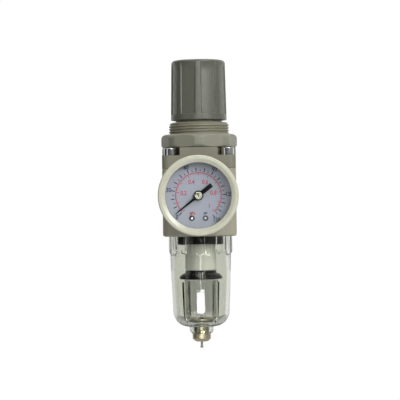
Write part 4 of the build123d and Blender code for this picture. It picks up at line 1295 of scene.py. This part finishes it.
@dataclass
class Filter:
    """Deflector, filter element and baffle, seen through the bowl."""

    element_r: float = 8.5
    element_top: float = -55.4
    element_bottom: float = -74.1
    vanes: int = 16

    def vane_radius(self, radius: float, level: float, angle: float) -> float:
        """Cut slanted louvres into the band of the deflector.

        Args:
            radius: Radius of the band.
            level: Height.
            angle: Angle in degrees.

        Returns:
            The radius of the surface.
        """
        if radius < 12.3:
            return radius
        phase = ((angle + 4.5 * (level + 57)) * self.vanes / 360) % 1.0
        slot = 1 - smoothstep(0.08, 0.2, abs(phase - 0.5))
        inside = smoothstep(-59.6, -59.2, level) * (1 - smoothstep(-55.6, -55.2, level))
        return radius - 0.6 * slot * inside

    def build(self) -> None:
        """Make the three pieces."""
        levels = [-60.0 + 0.2 * i for i in range(30)]
        band: Profile = [(5.6, -54.2), (5.6, -55.4), (8.7, -55.4), (8.7, -60.0), (9.4, -60.0), (9.4, -56.4), (11.9, -56.4),
                         (11.9, -60.0)]
        band += [(12.4, -60.0)] + [(12.6, level) for level in levels if level > -59.9] + [(12.45, -54.2)]
        place(lathe("air_deflector", band, rule=self.vane_radius, segments=320, sharp=40), Body.HOUSING,
              Finishes.DEFLECTOR, "deflector")
        tube = rounded([(6.0, self.element_bottom, 0.2), (self.element_r, self.element_bottom, 0.3),
                        (self.element_r, self.element_top, 0.3), (6.0, self.element_top, 0.2)], 4, closed=True)
        place(lathe("sintered_tube", tube, segments=96), Body.HOUSING, Finishes.ELEMENT, "filter_element")
        cap = rounded([(0, self.element_bottom, 0), (self.element_r, self.element_bottom, 0.2),
                       (self.element_r, -76.0, 0.6), (10.6, -77.0, 2.0), (11.8, -78.3, 0.8), (11.8, -79.3, 0.3),
                       (10.6, -79.5, 0.3), (9.6, -78.4, 0.5), (7.4, -77.8, 0), (0, -77.8, 0)], 5)
        place(lathe("still_water_baffle", cap, segments=96), Body.HOUSING, Finishes.BAFFLE, "baffle")


@dataclass
class Bowl:
    """The clear bowl with its grip ribs, front strip and inner fins."""

    ribs: int = 16
    rib_turn: float = -76.5
    rib_half: float = 1.6
    rib_height: float = 0.55
    collar_bottom: float = -65.2
    strip_half: float = 2.25
    strip_bottom: float = -99.4
    low_r: float = 15.5
    bottom: float = -105.5
    corner: float = 8.3
    wall: float = 2.2
    fin_inner: float = 9.95
    fins: tuple[int, ...] = (50, 130, 230, 310)
    fin_top: float = -81.0
    fin_half: float = 2.3

    def angles(self) -> list[float]:
        """Give the angles of the mesh, close together at the edges of the strip and of the fins."""
        spots = {round(360 * index / 320, 3) for index in range(320)}
        for edge in (-90 - 7.6, -90 + 7.6):
            spots |= {round((edge + step * 0.12) % 360, 3) for step in range(-8, 9)}
        for fin in self.fins:
            spots |= {fin - self.fin_half - 0.1, fin - self.fin_half + 0.1}
            spots |= {fin + self.fin_half - 0.1, fin + self.fin_half + 0.1}
        return sorted(spots)

    def surface(self, radius: float, level: float, angle: float) -> float:
        """Raise the ribs and the strip and let the fins reach inwards.

        Args:
            radius: Radius of the plain bowl.
            level: Height.
            angle: Angle in degrees.

        Returns:
            The radius of the surface.
        """
        turn = (angle + 90 + 180) % 360 - 180
        if radius > 10 and (radius, level) in self.outside:
            return self.outer(radius, level, turn, angle)
        if radius > self.fin_inner + 0.1 and -103.4 < level < self.fin_top + 0.01 and radius < 14.5:
            if min(abs(angle - fin) for fin in self.fins) < self.fin_half:
                return self.fin_inner
        return radius

    def outer(self, radius: float, level: float, turn: float, angle: float) -> float:
        """Give the outer surface.

        Args:
            radius: Radius of the plain bowl.
            level: Height.
            turn: Angle from the front in degrees.
            angle: Angle in degrees.

        Returns:
            The radius of the surface.
        """
        result = radius
        if self.collar_bottom - 0.01 < level < -55.9:
            pitch = 360 / self.ribs
            off = ((angle - self.rib_turn + pitch / 2) % pitch - pitch / 2) * math.pi / 180 * radius
            down = max(0.0, self.collar_bottom + self.rib_half - level)
            reach = math.hypot(off, down)
            result = radius + self.rib_height * (1 - smoothstep(self.rib_half - 0.25, self.rib_half + 0.15, reach))
        if self.strip_bottom < level < -55.9:
            across = radius * math.tan(math.radians(turn)) if abs(turn) < 40 else 99.0
            edge = 1 - smoothstep(self.strip_half - 0.16, self.strip_half + 0.16, abs(across))
            end = smoothstep(self.strip_bottom, self.strip_bottom + 1.6, level)
            flat = (max(radius, 16.9 - (-66.0 - level) * 0.035) + 0.22) / math.cos(math.radians(turn)) if edge else radius
            if level > self.collar_bottom:
                flat = max(flat, radius + 0.45)
            result = max(result, radius + (flat - radius) * edge * end)
        return result

    def build(self) -> None:
        """Make the bowl."""
        centre = (self.low_r - self.corner, self.bottom + self.corner)
        outside = rounded([(15.0, -49.5, 0.3), (15.0, -55.9, 0), (17.0, -55.9, 0.1), (17.0, self.collar_bottom, 0.2),
                           (16.78, -66.0, 0.3), (16.1, -85.0, 20), (self.low_r, centre[1], 0)], 8)
        outside += arc_points(centre, self.corner, -4, -90, 16)
        outside += rounded([(7.1, self.bottom, 0), (6.7, self.bottom, 0.3), (6.65, -107.3, 1.0), (6.0, -108.9, 0.5),
                            (5.4, -109.3, 0.2), (3.95, -109.3, 0)], 4)
        inside = rounded([(3.95, -103.3, 0), (centre[0], -103.3, 0)])
        inside += arc_points(centre, self.corner - self.wall, -88, 0, 16)
        inside += rounded([(13.35, -96.8, 0), (14.1, -85.0, 10), (14.6, -75.0, 8), (13.2, -57.0, 8), (13.2, -49.5, 0.3)], 6)
        outside = self.refine(outside)
        inside = self.refine(inside)
        self.outside = set(outside)
        bowl = lathe("bowl_shell", outside + inside, angles=self.angles(), rule=self.surface, sharp=35)
        place(bowl, Body.BOWL, Finishes.BOWL, "bowl")

    def refine(self, points: Profile) -> Profile:
        """Add levels where the ribs, the strip and the fins end.

        Args:
            points: Profile to refine.

        Returns:
            The profile with its long steps divided.
        """
        result: Profile = [points[0]]
        for before, after in zip(points, points[1:]):
            high = max(before[1], after[1])
            gap = abs(after[1] - before[1])
            step = 0.3 if -66.5 < high < -61 else 0.9
            count = max(1, math.ceil(gap / step)) if before[0] > 10 else 1
            for i in range(1, count + 1):
                share = i / count
                result.append((before[0] + (after[0] - before[0]) * share, before[1] + (after[1] - before[1]) * share))
        return result


@dataclass
class Drain:
    """The brass drain under the bowl."""

    sleeve_r: float = 3.9
    cap_r: float = 5.1
    boss_bottom: float = -109.3
    cap_bottom: float = -113.8
    pin_r: float = 0.65

    def build(self) -> None:
        """Make the sleeve, the washer, the domed nut and the pin."""
        sleeve = rounded([(0.8, -101.5, 0.1), (6.2, -101.5, 0.3), (6.2, -102.5, 0.1), (self.sleeve_r, -102.5, 0),
                          (self.sleeve_r, -112.0, 0.2), (2.6, -112.0, 0), (2.6, -103.5, 0), (0.8, -103.5, 0)], 4, closed=True)
        place(lathe("drain_sleeve", sleeve, segments=72), Body.BOWL, Finishes.DRAIN_BRASS, "drain_body")
        washer = rounded([(3.95, -103.3, 0), (6.5, -103.3, 0.3), (6.5, -102.5, 0.3), (3.95, -102.5, 0)], 4, closed=True)
        place(lathe("drain_washer", washer, segments=72), Body.BOWL, Finishes.RUBBER, "drain_gasket")
        nut = rounded([(0.8, -112.0, 0), (3.92, -112.0, 0), (3.92, self.boss_bottom, 0), (self.cap_r, self.boss_bottom, 0.15),
                       (self.cap_r, -112.3, 0.9), (3.4, self.cap_bottom, 0.8), (0.8, self.cap_bottom, 0.1)], 6, closed=True)
        place(lathe("drain_cap", nut, segments=72), Body.BOWL, Finishes.DRAIN_BRASS, "drain_nut")
        pin = rounded([(0, -117.4, 0), (0.85, -117.4, 0.1), (0.8, -116.8, 0.2), (self.pin_r, -115.8, 0.3),
                       (self.pin_r, -111.0, 0), (2.2, -111.0, 0), (2.2, -110.2, 0), (self.pin_r, -110.2, 0),
                       (self.pin_r, -100.7, 0), (1.2, -100.7, 0), (1.2, -99.4, 0.3), (0, -99.4, 0)], 4)
        place(lathe("drain_pin_turned", pin, segments=40), Body.DRAIN, Finishes.PIN_METAL, "drain_stem")


class Inner:
    """Finishes for the solids that stay as they are."""

    FINISHES: dict[str, Finish] = {
        "diaphragm": Finishes.RUBBER, "diaphragm_plate": Finishes.STEEL, "diaphragm_hub": Finishes.BRASS,
        "main_spring": Finishes.SPRING, "spring_nut": Finishes.BRASS, "adjusting_screw": Finishes.STEEL,
        "thrust_washer": Finishes.GUIDE, "screw_clip": Finishes.SPRING, "valve_stem": Finishes.BRASS,
        "valve_rubber": Finishes.RUBBER, "valve_spring": Finishes.SPRING, "valve_guide": Finishes.GUIDE,
        "valve_guide_o_ring": Finishes.RUBBER, "bowl_o_ring": Finishes.RUBBER, "drain_seal": Finishes.RUBBER,
        "drain_spring": Finishes.SPRING, "bourdon_tube": Finishes.BRASS, "movement_plates": Finishes.BRASS,
        "sector_gear": Finishes.BRASS, "pinion": Finishes.BRASS,
    }

    def build(self) -> None:
        """Dress the solids."""
        for name, finish in self.FINISHES.items():
            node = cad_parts[name]
            node.data.materials.clear()
            node.data.materials.append(finish.build())
            LOG.info("%s finished with %s", name, finish.name)


@dataclass
class Studio:
    """Camera, lights, white surround and pale floor."""

    distance: float = 0.9
    aim_x: float = 0.00004
    aim_z: float = -0.03604
    lens: float = 147.0
    roll: float = -0.8
    turn: float = 0.9
    floor_z: float = -0.2
    floor_r: float = 0.42
    fill: float = 0.18
    front_glow: float = 0.04
    back_glow: float = 0.8
    top_glow: float = 0.25
    right_glow: float = 0.25

    def build(self) -> None:
        """Set up everything around the part."""
        self.camera()
        self.surround()
        self.floor()
        self.light("key_softbox", (0.5, -0.8, 0.4), (0.0, 0.0, -0.03), (0.4, 0.4), 6.6)
        self.light("left_fill", (-0.8, -0.6, 0.1), (0.0, 0.0, -0.03), (0.4, 0.6), 0.5)
        self.light("top_softbox", (0.0, 0.1, 0.8), (0.0, 0.0, 0.0), (0.6, 0.6), 2.0)
        self.light("front_panel", (0.02, -0.95, 0.26), (0.0, 0.0, 0.0), (0.22, 0.24), 1.6, mirror_only=True)
        self.light("low_card", (0.0, -0.5, -0.181), (0.0, 0.0, -0.09), (0.035, 0.07), 0.15, mirror_only=True)
        for name, side in (("left_glint", -1), ("right_glint", 1)):
            self.light(name, (side * 0.1, -0.48, -0.12), (0.0, 0.0, -0.08), (0.05, 0.07), 0.15, mirror_only=True)

    def camera(self) -> None:
        """Make the camera at the photograph's distance and height."""
        data = bpy.data.cameras.new("camera")
        data.lens = self.lens
        data.sensor_width = 36.0
        data.clip_start = 0.05
        data.clip_end = 20.0
        data.dof.use_dof = False
        camera = bpy.data.objects.new("camera", data)
        bpy.context.scene.collection.objects.link(camera)
        upright = Matrix.Rotation(math.radians(90), 4, "X") @ Matrix.Rotation(math.radians(self.roll), 4, "Z")
        around = Matrix.Rotation(math.radians(self.turn), 4, "Z")
        camera.matrix_world = around @ Matrix.Translation((self.aim_x, -self.distance, self.aim_z)) @ upright
        bpy.context.scene.camera = camera

    def surround(self) -> None:
        """Make a white surround that lights the part less than it shows."""
        scene = bpy.context.scene
        scene.view_settings.view_transform = "Standard"
        world = bpy.data.worlds.new("surround")
        scene.world = world
        world.use_nodes = True
        nodes = Nodes(world.node_tree)
        path = nodes.add("ShaderNodeLightPath")
        bounced = nodes.math("ADD", path.outputs["Diffuse Depth"], path.outputs["Glossy Depth"])
        direct = nodes.math("LESS_THAN", bounced, 0.5)
        mirrored = nodes.math("GREATER_THAN", path.outputs["Glossy Depth"], 0.5)
        split = nodes.add("ShaderNodeSeparateXYZ")
        nodes.feed(split, _0=nodes.add("ShaderNodeTexCoord").outputs["Generated"])
        behind = nodes.ramp(split.outputs[1], 0.25, 0.8, self.front_glow, self.back_glow)
        above = nodes.ramp(split.outputs[2], 0.1, 0.9, 0.0, self.top_glow)
        right = nodes.ramp(split.outputs[0], 0.1, 0.9, 0.0, self.right_glow)
        glow = nodes.math("ADD", nodes.math("ADD", behind, above), right)
        glossy = nodes.math("MULTIPLY", glow, mirrored)
        soft = nodes.math("MULTIPLY", nodes.math("SUBTRACT", 1.0, mirrored), self.fill)
        indirect = nodes.math("ADD", glossy, soft)
        strength = nodes.math("ADD", nodes.math("MULTIPLY", direct, 1.02),
                              nodes.math("MULTIPLY", nodes.math("SUBTRACT", 1.0, direct), indirect))
        back = world.node_tree.nodes["Background"]
        nodes.feed(back, Color=(1.0, 1.0, 1.0, 1.0), Strength=strength)

    def floor(self) -> None:
        """Make a pale round floor below the view."""
        work = bmesh.new()
        bmesh.ops.create_circle(work, cap_ends=True, radius=self.floor_r, segments=96)
        mesh = bpy.data.meshes.new("floor")
        work.to_mesh(mesh)
        work.free()
        floor = bpy.data.objects.new("floor", mesh)
        floor.location = (0, 0, self.floor_z)
        bpy.context.scene.collection.objects.link(floor)
        material = Finish("floor_paper", "", (0.6, 0.6, 0.59), 0.7, wear=0.0, dust=0.0, mottle=0.01).build()
        mesh.materials.append(material)

    def light(self, name: str, at: Sequence[float], aim: Sequence[float], size: tuple[float, float], power: float,
              mirror_only: bool = False) -> None:
        """Make a soft light.

        Args:
            name: Name of the light.
            at: Its place.
            aim: The point it faces.
            size: Width and height.
            power: Power in watts.
            mirror_only: Whether it shows in shiny surfaces alone.
        """
        data = bpy.data.lights.new(name, "AREA")
        data.shape = "RECTANGLE"
        data.size, data.size_y = size
        data.energy = power
        lamp = bpy.data.objects.new(name, data)
        bpy.context.scene.collection.objects.link(lamp)
        lamp.location = at
        lamp.rotation_euler = (Vector(aim) - Vector(at)).to_track_quat("-Z", "Y").to_euler()
        lamp.visible_camera = False
        lamp.visible_diffuse = not mirror_only


def main() -> None:
    """Build the studio and every sub-assembly."""
    logging.basicConfig(level=logging.INFO, format="%(message)s")
    Studio().build()
    for part in (Knob(), Bonnet(), RingNut(), Casting(), Gauge(), Filter(), Bowl(), Drain(), Inner()):
        part.build()
        LOG.info("%s is built", type(part).__name__)


if __name__ == "__main__":
    main()
